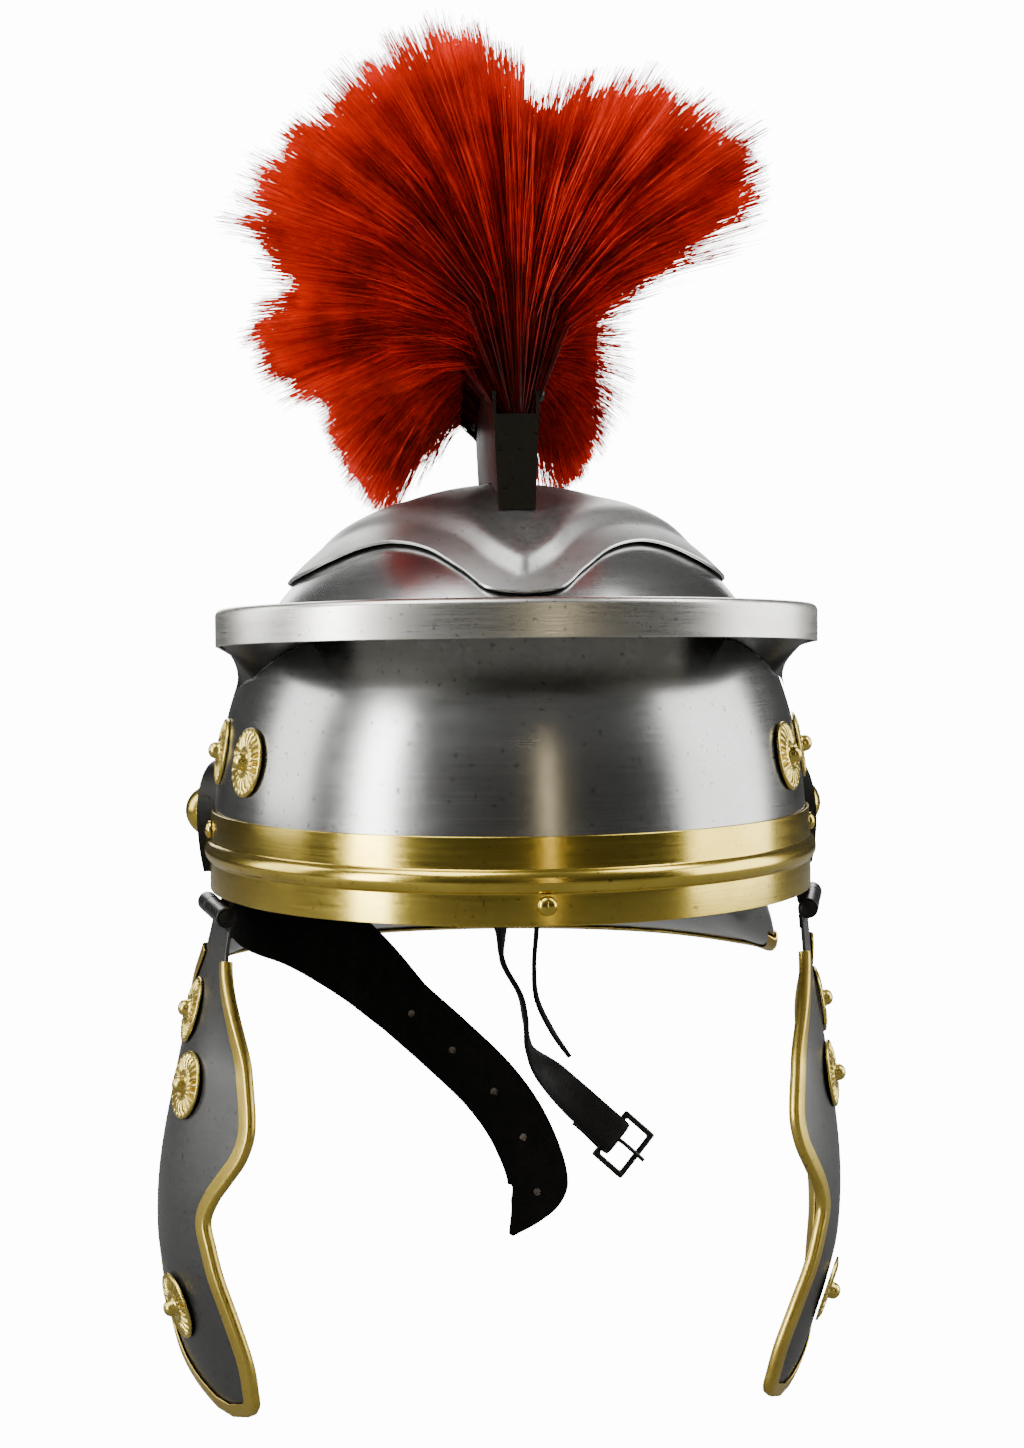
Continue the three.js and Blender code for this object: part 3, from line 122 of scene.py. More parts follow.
BOSS_RADIUS = 10
BOSS_HEIGHT = 13
CREST_FRONT = 55
CREST_BACK = 60
CREST_SIDE_HEIGHT = 37
CREST_TOP_WIDTH = 15
CHEEK_LENGTH = 157
CHEEK_WIDTH = 76
CHEEK_BULGE = 6
CHEEK_CURVE_RADIUS = 68
CHEEK_EDGE_FACE = 3.4
CHEEK_SPLAY = {"left": math.radians(3.8), "right": math.radians(8.5)}
CHEEK_TWIST = {"left": 0, "right": math.radians(8)}
HINGE_LENGTH = 38
HINGE_CENTRE_FORWARD = 31
HINGE_OUT = 1
HINGE_RADIUS = 3.3
HINGE_PIN_RADIUS = 1.4
HINGE_DROP = 4.6
HINGE_RISE = math.radians(1.5)
ROSETTE_RADIUS = 11
ROSETTE_DISH = 1.6
KNOB_RADIUS = 2.9
RIVET_RADIUS = 2.9
RIVET_HEIGHT = 1.8

SIDES = {"left": 1, "right": -1}
CHEEK_BODY = {"left": "cheek_left", "right": "cheek_right"}
HELMET_BODY = "helmet"


def vec(x, y, z):
    """A point in millimetres above the rim plane."""
    return Vector((x, y, z))


def spread(count, low=0.0, high=1.0):
    """Evenly spaced values from low to high, both included."""
    return [low + (high - low) * i / count for i in range(count + 1)]


def mix(a, b, share):
    """The value at a share of the way from a to b."""
    return a + (b - a) * share


def smooth(low, high, at):
    """Eases from 0 at low to 1 at high."""
    share = min(max((at - low) / (high - low), 0.0), 1.0)
    return share * share * (3 - 2 * share)


def read_table(rows, at, column):
    """Reads a table by its first column; the other columns are eased from row to row."""
    i = 0
    while i < len(rows) - 2 and at > rows[i + 1][0]:
        i += 1
    step = rows[i + 1][0] - rows[i][0]
    share = min(max((at - rows[i][0]) / step, 0.0), 1.0)
    before, after = rows[max(i - 1, 0)], rows[min(i + 2, len(rows) - 1)]

    def slope(a, b):
        return (b[column] - a[column]) / max(b[0] - a[0], 1e-6) * step

    rise, fall = slope(before, rows[i + 1]), slope(rows[i], after)
    s2, s3 = share ** 2, share ** 3
    return ((2 * s3 - 3 * s2 + 1) * rows[i][column] + (s3 - 2 * s2 + share) * rise
            + (3 * s2 - 2 * s3) * rows[i + 1][column] + (s3 - s2) * fall)


# Dome of the bowl: turn 0 is the brow, positive toward +X
def climb_at(height):
    """The dome's climb at a height; 0 is the rim and a quarter turn is the apex."""
    return math.asin(min(max(height / BOWL_HEIGHT, 0), 1) ** (BOWL_SQUARENESS / 2))


def dome_normal(turn, climb):
    """The outward normal of the bowl's outer face."""
    rise = math.sin(climb) ** (2 / BOWL_SQUARENESS)
    return vec(2 * math.sin(turn) * math.cos(climb) / BOWL_HALF_WIDTH,
               -2 * math.cos(turn) * math.cos(climb) / BOWL_HALF_LENGTH,
               BOWL_SQUARENESS * rise ** (BOWL_SQUARENESS - 1) / BOWL_HEIGHT).normalized()


def dome_point(turn, climb, lift=0.0):
    """A point of the bowl's outer face, lifted along its normal."""
    flat = math.cos(climb)
    return vec(BOWL_HALF_WIDTH * math.sin(turn) * flat, -BOWL_HALF_LENGTH * math.cos(turn) * flat,
               BOWL_HEIGHT * math.sin(climb) ** (2 / BOWL_SQUARENESS)) + dome_normal(turn, climb) * lift


def wall_point(turn, height, lift=0.0):
    """A point of the bowl's wall; under the rim it keeps the rim's outline."""
    point = dome_point(turn, climb_at(height), lift)
    if height < 0:
        point.z = height
    return point


def turn_at_back(back):
    """The turn of the rim's place that lies this far back of the middle."""
    return math.acos(-back / BOWL_HALF_LENGTH)


def crown_height(back):
    """The bowl's height on its middle line."""
    return BOWL_HEIGHT * (1 - (back / BOWL_HALF_LENGTH) ** 2) ** (1 / BOWL_SQUARENESS)


def crest_seat(back):
    """The height of the crest box's foot, on the crown plate."""
    return crown_height(back) + SHEET_GAP + STEEL + 1.5 * FIT_GAP


def rim_height():
    """The rim plane's height in the frame, in millimetres."""
    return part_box("skull_bowl")[0][2] / MM


def sheet(outer, inner, wrap=False):
    """Corner points and faces of a plate between two grids of points, with its edge faces."""
    rows, columns = len(outer), len(outer[0])
    points = [p for grid in (outer, inner) for row in grid for p in row]

    def at(side, i, j):
        return (side * rows + i % rows) * columns + j

    faces, edges = [], []
    for i in range(rows if wrap else rows - 1):
        for j in range(columns - 1):
            faces.append((at(0, i, j), at(0, i + 1, j), at(0, i + 1, j + 1), at(0, i, j + 1)))
            faces.append((at(1, i, j), at(1, i, j + 1), at(1, i + 1, j + 1), at(1, i + 1, j)))
        last = columns - 1
        edges.append((at(0, i, 0), at(1, i, 0), at(1, i + 1, 0), at(0, i + 1, 0)))
        edges.append((at(0, i, last), at(0, i + 1, last), at(1, i + 1, last), at(1, i, last)))
    if not wrap:
        for j in range(columns - 1):
            end = rows - 1
            edges.append((at(0, 0, j), at(0, 0, j + 1), at(1, 0, j + 1), at(1, 0, j)))
            edges.append((at(0, end, j), at(1, end, j), at(1, end, j + 1), at(0, end, j + 1)))
    return points, faces, edges


def lathe(profile, sides=48):
    """A round piece on local +Z from a profile of (radius, height)."""
    outer = [[vec(r * math.cos(a), r * math.sin(a), h) for r, h in profile]
             for a in spread(sides, 0, 2 * math.pi)[:-1]]
    points = [p for row in outer for p in row]
    count, size = len(outer), len(profile)
    faces = [(i * size + j, (i + 1) % count * size + j, (i + 1) % count * size + j + 1, i * size + j + 1)
             for i in range(count) for j in range(size - 1)]
    return points, faces, []


def dome_profile(radius, height, steps=8):
    """The profile of a domed head for a lathed piece."""
    return [(0, 0)] + [(radius * math.cos(a), height * math.sin(a)) for a in spread(steps, 0, math.pi / 2)]


def moved(shape, matrix):
    """A shape in another frame."""
    points, faces, edges = shape
    return [matrix @ p for p in points], faces, edges


def joined(shapes):
    """Several shapes as one."""
    points, faces, edges = [], [], []
    for some, flats, rims in shapes:
        start = len(points)
        points += some
        faces += [tuple(i + start for i in f) for f in flats]
        edges += [tuple(i + start for i in f) for f in rims]
    return points, faces, edges


def make_piece(name, shape, materials, body, replaced=(), bevel=0.25, angle=38):
    """Makes a smooth closed piece from a shape; a second material goes on the edge faces."""
    points, faces, edges = shape
    mesh = bpy.data.meshes.new(name)
    rim = rim_height()
    corners = [(p.x * MM, p.y * MM, (p.z + rim) * MM) for p in points]
    mesh.from_pydata(corners, [], faces + edges)
    for material in materials:
        mesh.materials.append(material)
    if len(materials) > 1:
        for polygon in mesh.polygons[len(faces):]:
            polygon.material_index = 1
    work = bmesh.new()
    work.from_mesh(mesh)
    bmesh.ops.remove_doubles(work, verts=work.verts, dist=2e-6)
    bmesh.ops.recalc_face_normals(work, faces=work.faces)
    work.to_mesh(mesh)
    work.free()
    mesh.shade_smooth()
    mesh.set_sharp_from_angle(angle=math.radians(angle))
    piece = bpy.data.objects.new(name, mesh)
    bpy.context.scene.collection.objects.link(piece)
    round_edges(piece, bevel, angle)
    finish_piece(piece, body, replaced)
    return piece


def round_edges(piece, bevel, angle):
    """Rounds the edges that are sharper than an angle in degrees; a bevel of 0 leaves them."""
    if bevel:
        rounding = piece.modifiers.new("rounded_edges", "BEVEL")
        rounding.width = bevel * MM
        rounding.segments = 2
        rounding.limit_method = "ANGLE"
        rounding.angle_limit = math.radians(angle)


def finish_piece(piece, body, replaced):
    """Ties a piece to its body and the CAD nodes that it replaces."""
    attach(piece, body)
    if replaced:
        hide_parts(*replaced)


def refined(node, material, body, bevel=0.3, angle=30):
    """A copy of a CAD node whose flat faces are joined and whose edges are rounded."""
    source = bpy.data.objects[node]
    mesh = source.data.copy()
    mesh.materials.clear()
    mesh.materials.append(material)
    work = bmesh.new()
    work.from_mesh(mesh)
    bmesh.ops.remove_doubles(work, verts=work.verts, dist=2e-6)
    bmesh.ops.dissolve_limit(work, angle_limit=math.radians(1), verts=work.verts, edges=work.edges)
    work.to_mesh(mesh)
    work.free()
    mesh.shade_smooth()
    mesh.set_sharp_from_angle(angle=math.radians(angle))
    piece = bpy.data.objects.new(f"{node}_fine", mesh)
    bpy.context.scene.collection.objects.link(piece)
    round_edges(piece, bevel, angle)
    finish_piece(piece, body, (node,))


def node_points(node):
    """The corner points of a CAD node in millimetres above the rim."""
    source = bpy.data.objects[node]
    rim = vec(0, 0, rim_height())
    return [(source.matrix_world @ v.co) / MM - rim for v in source.data.vertices]


def disc_frame(node, outward):
    """The frame of a round flat node: its base centre, with +Z along its axis, facing outward."""
    points = np.array(node_points(node))
    middle = points.mean(axis=0)
    _, _, axes = np.linalg.svd(points - middle)
    axis = Vector(axes[2])
    if axis.dot(outward) < 0:
        axis.negate()
    along = (points - middle) @ np.array(axis)
    base = Vector(middle) + axis * float(along.min())
    return Matrix.Translation(base) @ axis.to_track_quat("Z", "Y").to_matrix().to_4x4()


# Materials: shared effects are groups, and each material keeps its own shader
def new_group(name, inputs, outputs):
    """A node group with named sockets: (name, kind, value) for each input."""
    tree = bpy.data.node_groups.new(name, "ShaderNodeTree")
    for label, kind, value in inputs:
        socket = tree.interface.new_socket(label, in_out="INPUT", socket_type=kind)
        if value is not None:
            socket.default_value = value
    for label, kind in outputs:
        tree.interface.new_socket(label, in_out="OUTPUT", socket_type=kind)
    return tree, tree.nodes.new("NodeGroupInput"), tree.nodes.new("NodeGroupOutput")


def noise_node(tree, place, scale, detail=4.0, roughness=0.55):
    """A noise over the given coordinates."""
    node = tree.nodes.new("ShaderNodeTexNoise")
    node.inputs["Scale"].default_value = scale
    node.inputs["Detail"].default_value = detail
    node.inputs["Roughness"].default_value = roughness
    tree.links.new(place, node.inputs["Vector"])
    return node.outputs["Fac"]


def ramp_node(tree, source, stops):
    """A colour ramp with stops of (place, colour or grey)."""
    node = tree.nodes.new("ShaderNodeValToRGB")
    elements = node.color_ramp.elements
    while len(elements) < len(stops):
        elements.new(0.5)
    for element, (at, colour) in zip(elements, stops):
        element.position = at
        element.color = (*colour, 1) if isinstance(colour, tuple) else (colour, colour, colour, 1)
    tree.links.new(source, node.inputs["Fac"])
    return node.outputs["Color"]


def range_node(tree, source, low, high, to_low, to_high):
    """Maps one range of values to another."""
    node = tree.nodes.new("ShaderNodeMapRange")
    for label, value in (("From Min", low), ("From Max", high), ("To Min", to_low), ("To Max", to_high)):
        node.inputs[label].default_value = value
    tree.links.new(source, node.inputs["Value"])
    return node.outputs["Result"]


def math_node(tree, kind, *values):
    """A sum or product of values; each is a number or the output that feeds it."""
    node = tree.nodes.new("ShaderNodeMath")
    node.operation = kind
    for socket, value in zip(node.inputs, values):
        if isinstance(value, float):
            socket.default_value = value
        else:
            tree.links.new(value, socket)
    return node.outputs[0]


def stretched(tree, stretch=(1, 1, 1)):
    """Object coordinates in metres, stretched along each axis."""
    place = tree.nodes.new("ShaderNodeTexCoord")
    scale = tree.nodes.new("ShaderNodeVectorMath")
    scale.operation = "MULTIPLY"
    scale.inputs[1].default_value = stretch
    tree.links.new(place.outputs["Object"], scale.inputs[0])
    return scale.outputs["Vector"]


def colour_mix(tree, first, second, share=None, kind="MIX"):
    """Mixes two colours, wholly or by the share that feeds it."""
    node = tree.nodes.new("ShaderNodeMix")
    node.data_type = "RGBA"
    node.blend_type = kind
    if share is None:
        node.inputs["Factor"].default_value = 1.0
    else:
        tree.links.new(share, node.inputs["Factor"])
    tree.links.new(first, node.inputs["A"])
    tree.links.new(second, node.inputs["B"])
    return node.outputs["Result"]


def add_relief(tree, shader, height, strength):
    """Fine relief on a surface."""
    node = tree.nodes.new("ShaderNodeBump")
    node.inputs["Strength"].default_value = strength
    node.inputs["Distance"].default_value = RELIEF_DEPTH
    tree.links.new(height, node.inputs["Height"])
    tree.links.new(node.outputs["Normal"], shader.inputs["Normal"])


def new_material(name):
    """A new material, its node tree and its shader."""
    material = bpy.data.materials.new(name)
    material.use_nodes = True
    return material, material.node_tree, material.node_tree.nodes["Principled BSDF"]


def worn_metal_group():
    """Brushing lines, smudges, specks and fine scratches of a metal face."""
    tree, given, result = new_group("worn_metal", [
        ("Base", "NodeSocketColor", (0.5, 0.5, 0.5, 1)),
        ("Stain", "NodeSocketColor", (0.2, 0.2, 0.2, 1)),
        ("Stain Amount", "NodeSocketFloat", 0.3),
        ("Roughness", "NodeSocketFloat", 0.3),
        ("Lines", "NodeSocketFloat", 0.5),
        ("Line Vector", "NodeSocketVector", None),
    ], [("Color", "NodeSocketColor"), ("Roughness", "NodeSocketFloat"), ("Height", "NodeSocketFloat")])
    link = tree.links.new
    given = given.outputs
    lines = noise_node(tree, given["Line Vector"], 1.0, 5.0, 0.65)
    smudge = noise_node(tree, stretched(tree, (1, 1, 1.4)), 38.0, 5.0, 0.6)
    specks = noise_node(tree, stretched(tree), 520.0, 2.0, 0.5)

    stained = range_node(tree, smudge, 0.42, 0.72, 0.0, 1.0)
    amount = math_node(tree, "MULTIPLY", stained, given["Stain Amount"])
    stain = colour_mix(tree, given["Base"], given["Stain"], amount)
    dots = range_node(tree, specks, 0.66, 0.74, 1.0, 0.55)
    shade = math_node(tree, "MULTIPLY", dots, range_node(tree, lines, 0.3, 0.7, 0.96, 1.03))
    link(colour_mix(tree, stain, shade, kind="MULTIPLY"), result.inputs["Color"])

    line_gloss = range_node(tree, lines, 0.3, 0.7, -0.06, 0.07)
    scaled = math_node(tree, "MULTIPLY_ADD", line_gloss, given["Lines"], given["Roughness"])
    link(math_node(tree, "MULTIPLY_ADD", amount, 0.16, scaled), result.inputs["Roughness"])

    height = math_node(tree, "MULTIPLY", lines, given["Lines"])
    link(math_node(tree, "MULTIPLY_ADD", smudge, 0.35, height), result.inputs["Height"])


def metal(name, base, stain, stain_amount, roughness, lines, stretch, bump=0.02, anisotropic=0.0):
    """A worn metal; stretch sets the direction and fineness of its brushing."""
    material, tree, shader = new_material(name)
    shader.inputs["Metallic"].default_value = 1.0
    shader.inputs["Anisotropic"].default_value = anisotropic
    worn = tree.nodes.new("ShaderNodeGroup")
    worn.node_tree = bpy.data.node_groups["worn_metal"]
    for label, value in (("Base", (*base, 1)), ("Stain", (*stain, 1)), ("Stain Amount", stain_amount),
                         ("Roughness", roughness), ("Lines", lines)):
        worn.inputs[label].default_value = value
    link = tree.links.new
    link(stretched(tree, stretch), worn.inputs["Line Vector"])
    link(worn.outputs["Color"], shader.inputs["Base Color"])
    link(worn.outputs["Roughness"], shader.inputs["Roughness"])
    add_relief(tree, shader, worn.outputs["Height"], bump)
    return material


def leather_material(name, base):
    """Dark leather: pores, creases and rubbed high places."""
    material, tree, shader = new_material(name)
    link = tree.links.new
    pores = tree.nodes.new("ShaderNodeTexVoronoi")
    pores.inputs["Scale"].default_value = 950.0
    link(stretched(tree), pores.inputs["Vector"])
    creases = noise_node(tree, stretched(tree, (1, 1, 0.6)), 160.0, 6.0, 0.65)
    rubbed = ramp_node(tree, creases, [(0.35, tuple(0.55 * c for c in base)), (0.6, base),
                                       (0.8, tuple(2.4 * c for c in base))])
    link(rubbed, shader.inputs["Base Color"])
    link(range_node(tree, creases, 0.3, 0.7, 0.72, 0.48), shader.inputs["Roughness"])
    shader.inputs["Specular IOR Level"].default_value = 0.15
    height = math_node(tree, "MULTIPLY_ADD", pores.outputs["Distance"], 0.5, creases)
    add_relief(tree, shader, height, 0.35)
    return material


def hair_material(name, stops, gloss):
    """Bristle whose colour runs from a dark root to the tip, the dark root being painted shade deep in the
    crest, with a tone of its own.
    """
    material, tree, shader = new_material(name)
    link = tree.links.new
    reach = tree.nodes.new("ShaderNodeAttribute")
    reach.attribute_name = "reach"
    tuft = noise_node(tree, stretched(tree), 70.0, 3.0, 0.6)
    tint = colour_mix(tree, ramp_node(tree, reach.outputs["Fac"], stops),
                      range_node(tree, tuft, 0.3, 0.7, 0.55, 1.35), kind="MULTIPLY")
    link(tint, shader.inputs["Base Color"])
    link(range_node(tree, tuft, 0.3, 0.7, gloss - 0.06, gloss + 0.08), shader.inputs["Roughness"])
    shader.inputs["Specular IOR Level"].default_value = 0.12
    return material


# Stretch of the brushing: long level lines, or a grain that is the same all ways
LEVEL_BRUSHING = (24, 24, 3200)
FINE_GRAIN = (900, 900, 900)
# Depth of the relief in metres
RELIEF_DEPTH = 0.0004
# Colour of the hair at its root, dark as painted shade deep in the crest
HAIR_ROOT_SHADE = (0.02, 0.001, 0.001)


def make_materials(finish):
    """Every material by the name of its finish.

    A metal's numbers are its base and stain colour, the amount of stain, its roughness, the strength of its
    brushing and how that is stretched.
    """
    worn_metal_group()
    return {
        "bowl": metal("bowl_steel", tuple(finish.steel), (0.27, 0.27, 0.26), 0.25, 0.22, 0.4, LEVEL_BRUSHING,
                      bump=0.008),
        "crown": metal("crown_steel", (0.36, 0.36, 0.35), (0.2, 0.2, 0.19), 0.4, 0.4, 0.8,
                       (420, 420, 1500), bump=0.05),
        "cut_edge": metal("cut_edge_steel", (0.82, 0.82, 0.8), (0.5, 0.5, 0.48), 0.2, 0.22, 0.3, FINE_GRAIN),
        # The peak's steel is set lighter than the bowl's: painted light on the peak's face.
        "peak": metal("peak_steel", (0.66, 0.65, 0.6), (0.42, 0.4, 0.33), 0.3, 0.28, 0.6, (50, 50, 2200),
                      bump=0.04, anisotropic=0.3),
        # The cheek guards' steel is set far darker than the bowl's: painted shade on the cheek guards.
        "cheek": metal("cheek_steel", (0.11, 0.11, 0.108), (0.085, 0.083, 0.077), 0.45, 0.4, 0.7,
                       (300, 300, 1300), bump=0.06),
        # Near-black steel: the hardware's own finish, and painted shade on the ear flanges and under the
        # peak's ends.
        "dark": metal("dark_steel", (0.035, 0.034, 0.031), (0.025, 0.024, 0.022), 0.5, 0.36, 0.5,
                      (500, 500, 700), bump=0.08),
        "band": metal("band_brass", tuple(finish.brass), (0.34, 0.22, 0.03), 0.45, 0.17, 0.5, (40, 40, 1500),
                      bump=0.05),
        "edging": metal("edging_brass", (0.66, 0.49, 0.1), (0.3, 0.2, 0.04), 0.55, 0.3, 0.5, FINE_GRAIN,
                        bump=0.08),
        "rosette": metal("rosette_brass", (0.7, 0.55, 0.13), (0.3, 0.2, 0.05), 0.5, 0.26, 0.4, FINE_GRAIN,
                         bump=0.06),
        "leather": leather_material("strap_leather", tuple(finish.leather)),
        "raw_leather": leather_material("raw_leather", (0.6, 0.55, 0.5)),
        # The dark stops near the root paint the shade deep inside the crest.
        "hair": hair_material("crest_hair", [(0.0, HAIR_ROOT_SHADE), (0.3, (0.14, 0.003, 0.001)),
                                             (0.65, (0.52, 0.008, 0.001)), (1.0, tuple(finish.hair))], 0.5),
        # The core's dark colour is painted shade among the roots.
        "hair_core": hair_material("crest_hair_shade_core", [(0.0, HAIR_ROOT_SHADE), (1.0, (0.16, 0.005, 0.003))], 0.7),
    }


# Bowl, crown plate, peak and band
def build_bowl(looks):
    """The plain dome of the bowl."""
    turns = spread(144, 0, 2 * math.pi)[:-1]
    climbs = spread(56, 0, math.pi / 2)
    grids = [[[dome_point(t, c, lift) for c in climbs] for t in turns] for lift in (0, -STEEL)]
    make_piece("skull_bowl_fine", sheet(*grids, wrap=True), [looks["bowl"]], HELMET_BODY, ["skull_bowl"])


# Columns are turn in degrees, edge and ridge height as shares, and how much the ridge is raised
CROWN_SECTIONS = [
    (0, 0.855, 0.862, 1), (8.5, 0.869, 0.91, 1), (15, 0.918, 0.952, 1), (26, 0.976, 0.985, 1),
    (40, 1, 1, 1), (52, 0.988, 1, 1), (64, 0.95, 0.99, 0.9), (75, 0.915, 0.965, 0.7),
    (92, 0.89, 0.94, 0.25), (110, 0.885, 0.935, 0), (180, 0.885, 0.935, 0),
]


def crown_row(turn, steps=40):
    """Climb and raise of each place from the plate's edge to the apex."""
    degrees = abs(math.degrees(turn))
    edge = (BOWL_HEIGHT - CROWN_EDGE_DROP) * read_table(CROWN_SECTIONS, degrees, 1)
    ridge = (BOWL_HEIGHT - CROWN_RIDGE_DROP) * read_table(CROWN_SECTIONS, degrees, 2)
    raised = CROWN_RIDGE_RAISE * read_table(CROWN_SECTIONS, degrees, 3)
    under = min(CROWN_RIDGE_WIDTH / 2, (ridge - edge) * 0.8) + 0.3
    over = min(CROWN_RIDGE_WIDTH, (BOWL_HEIGHT - ridge) * 0.7)
    row = []
    low = climb_at(edge)
    for share in spread(steps):
        climb = mix(low, math.pi / 2, share ** 1.35)
        height = BOWL_HEIGHT * math.sin(climb) ** (2 / BOWL_SQUARENESS)
        if height < ridge:
            raise_by = smooth(ridge - under, ridge, height)
        else:
            raise_by = 1 - smooth(ridge, ridge + over, height)
        row.append((climb, raised * raise_by))
    return row


def build_crown(looks):
    """The crown plate with its raised ridges."""
    turns = spread(240, -math.pi, math.pi)[:-1]
    grids = [[[dome_point(t, c, lift + up) for c, up in crown_row(t)] for t in turns]
             for lift in (SHEET_GAP + STEEL, SHEET_GAP)]
    make_piece("crown_plate_fine", sheet(*grids, wrap=True), [looks["crown"], looks["cut_edge"]],
               HELMET_BODY, ["crown_plate"], bevel=0.3)


def peak_station(side, share):
    """Outer and inner corner points of the peak's section at a share of the way round."""
    sag = math.tan(PEAK_TILT) * PEAK_REACH + PEAK_END_DROP
    lowest = PEAK_TOP_HEIGHT - PEAK_FACE_HEIGHT - sag
    wide_back = PEAK_WIDEST * BOWL_HALF_LENGTH
    if share <= 1:
        angle = share * math.pi / 2
        face = vec(PEAK_HALF_WIDTH * math.sin(angle),
                   wide_back - (PEAK_REACH + wide_back) * math.cos(angle), 0)
    else:
        angle = (share - 1) * math.pi / 2
        inner = dome_point(PEAK_TAB_TURN, climb_at(lowest), STEEL + FIT_GAP)
        face = vec(mix(inner.x, PEAK_HALF_WIDTH, math.cos(angle)),
                   mix(wide_back, inner.y, math.sin(angle)), -PEAK_END_DROP * (1 - math.cos(angle)))
    top = PEAK_TOP_HEIGHT - math.tan(PEAK_TILT) * (face.y + PEAK_REACH) + face.z
    turn = math.atan2(face.x / BOWL_HALF_WIDTH, -face.y / BOWL_HALF_LENGTH)
    root = dome_point(turn, climb_at(top - STEEL))
    inward = vec(root.x - face.x, root.y - face.y, 0)
    depth = max(inward.length - FIT_GAP, 1.8 * STEEL)
    inward.normalize()

    def at(back, height):
        return vec(side * (face.x + inward.x * back), face.y + inward.y * back, height)

    bottom = top - PEAK_FACE_HEIGHT
    corner = min(PEAK_CORNER, depth / 2)
    arc = [(corner - corner * math.cos(a), top - corner + corner * math.sin(a))
           for a in spread(6, 0, math.pi / 2)]
    tight = max(corner - STEEL, 0.3)
    within = [(STEEL + tight - tight * math.cos(a), top - STEEL - tight + tight * math.sin(a))
              for a in spread(6, 0, math.pi / 2)]
    inset = spread(3)
    outer = [at(0, mix(bottom, arc[0][1], s)) for s in inset[:-1]] + [at(*p) for p in arc]
    inner = [at(STEEL, mix(bottom, within[0][1], s)) for s in inset[:-1]] + [at(*p) for p in within]
    for s in inset[1:]:
        outer.append(at(mix(corner, depth, s), top))
        inner.append(at(mix(STEEL + tight, depth, s), top - STEEL))
    return outer, inner


def build_peak(looks):
    """The brow peak: a shelf whose face and ends turn down."""
    shares = spread(48, 0, PEAK_ENDS)
    stations = [peak_station(-1, s) for s in reversed(shares[1:])] + [peak_station(1, s) for s in shares]
    outer, inner = zip(*stations)
    # The peak takes the lightened peak steel, painted light on its face.
    make_piece("brow_peak_fine", sheet(outer, inner), [looks["peak"]], HELMET_BODY, ["brow_peak"],
               bevel=0.3)
    build_peak_returns(looks)


def build_peak_returns(looks):
    """Sloped plates under both ends of the peak, from its lower edge in to the bowl, in near-black steel as
    painted shade inside the peak's ends.
    """
    for name, side in SIDES.items():
        upper, lower = [], []
        for share in spread(32, PEAK_RETURN_FIRST, PEAK_RETURN_LAST):
            lip = peak_station(side, share)[1][0]
            drop = PEAK_RETURN_DROP * smooth(PEAK_RETURN_FIRST, PEAK_RETURN_FULL, share)
            turn = math.atan2(side * lip.x / BOWL_HALF_WIDTH, -lip.y / BOWL_HALF_LENGTH)
            foot = dome_point(turn, climb_at(lip.z - drop), FIT_GAP)
            foot.x *= side
            start = lip.lerp(foot, 0.04) + vec(0, 0, STEEL)
            upper.append([start.lerp(foot, s) + vec(0, 0, STEEL) for s in spread(5)])
            lower.append([start.lerp(foot, s) for s in spread(5)])
        # The near-black steel here is painted shade: the shaded inside of the peak's ends.
        make_piece(f"brow_peak_return_{name}", sheet(upper, lower), [looks["dark"]], HELMET_BODY, (),
                   bevel=0)


def build_band(looks):
    """The beaded brass band along the rim."""
    heights = spread(52, 0, BAND_HEIGHT)

    def raised(height):
        away = (height - BAND_BEAD_HEIGHT) / (BAND_BEAD_WIDTH / 2)
        return BAND_BEAD_RAISE * math.sqrt(1 - away * away) ** 1.3 if abs(away) < 1 else 0

    turns = spread(160, -BAND_END_TURN, BAND_END_TURN)
    grids = [[[dome_point(t, climb_at(h), lift + raised(h)) for h in heights] for t in turns]
             for lift in (FIT_GAP + BRASS, FIT_GAP)]
    make_piece("brow_band_fine", sheet(*grids), [looks["band"]], HELMET_BODY, ["brow_band"],
               bevel=0.2, angle=50)


def build_rivets(looks):
    """A domed head over each rivet node of the frame."""
    heads = [("brow_band_rivet_front", "band", "band_brass"), ("brow_band_rivet_left", "band", "band_brass"),
             ("brow_band_rivet_right", "band", "band_brass"), ("neck_guard_rivet_left", "bowl", "bowl_steel"),
             ("neck_guard_rivet_right", "bowl", "bowl_steel"), ("holed_strap_rivet", "dark", "dark_steel"),
             ("buckle_strap_rivet", "dark", "dark_steel"), ("tie_strap_rivet", "dark", "dark_steel")]
    for node, look, slot in heads:
        middle = np.mean(node_points(node), axis=0)
        outward = Vector((middle[0], middle[1], 0)) * (-1 if "strap" in node else 1)
        head = lathe(dome_profile(RIVET_RADIUS, RIVET_HEIGHT), 32)
        make_piece(f"{node}_fine", moved(head, disc_frame(node, outward)), [looks[look]], HELMET_BODY,
                   [node], bevel=0)


# Neck guard and its edging
NECK_SECTIONS = [(0, 1, 1), (0.4, 0.96, 1), (0.7, 0.76, 1), (0.85, 0.5, 0.93), (1, 0.1, 0.42)]
NECK_STEPS = [(0, 0), (0.3, 0.02), (0.58, 0.1), (0.76, 0.32), (0.89, 0.64), (1, 1)]


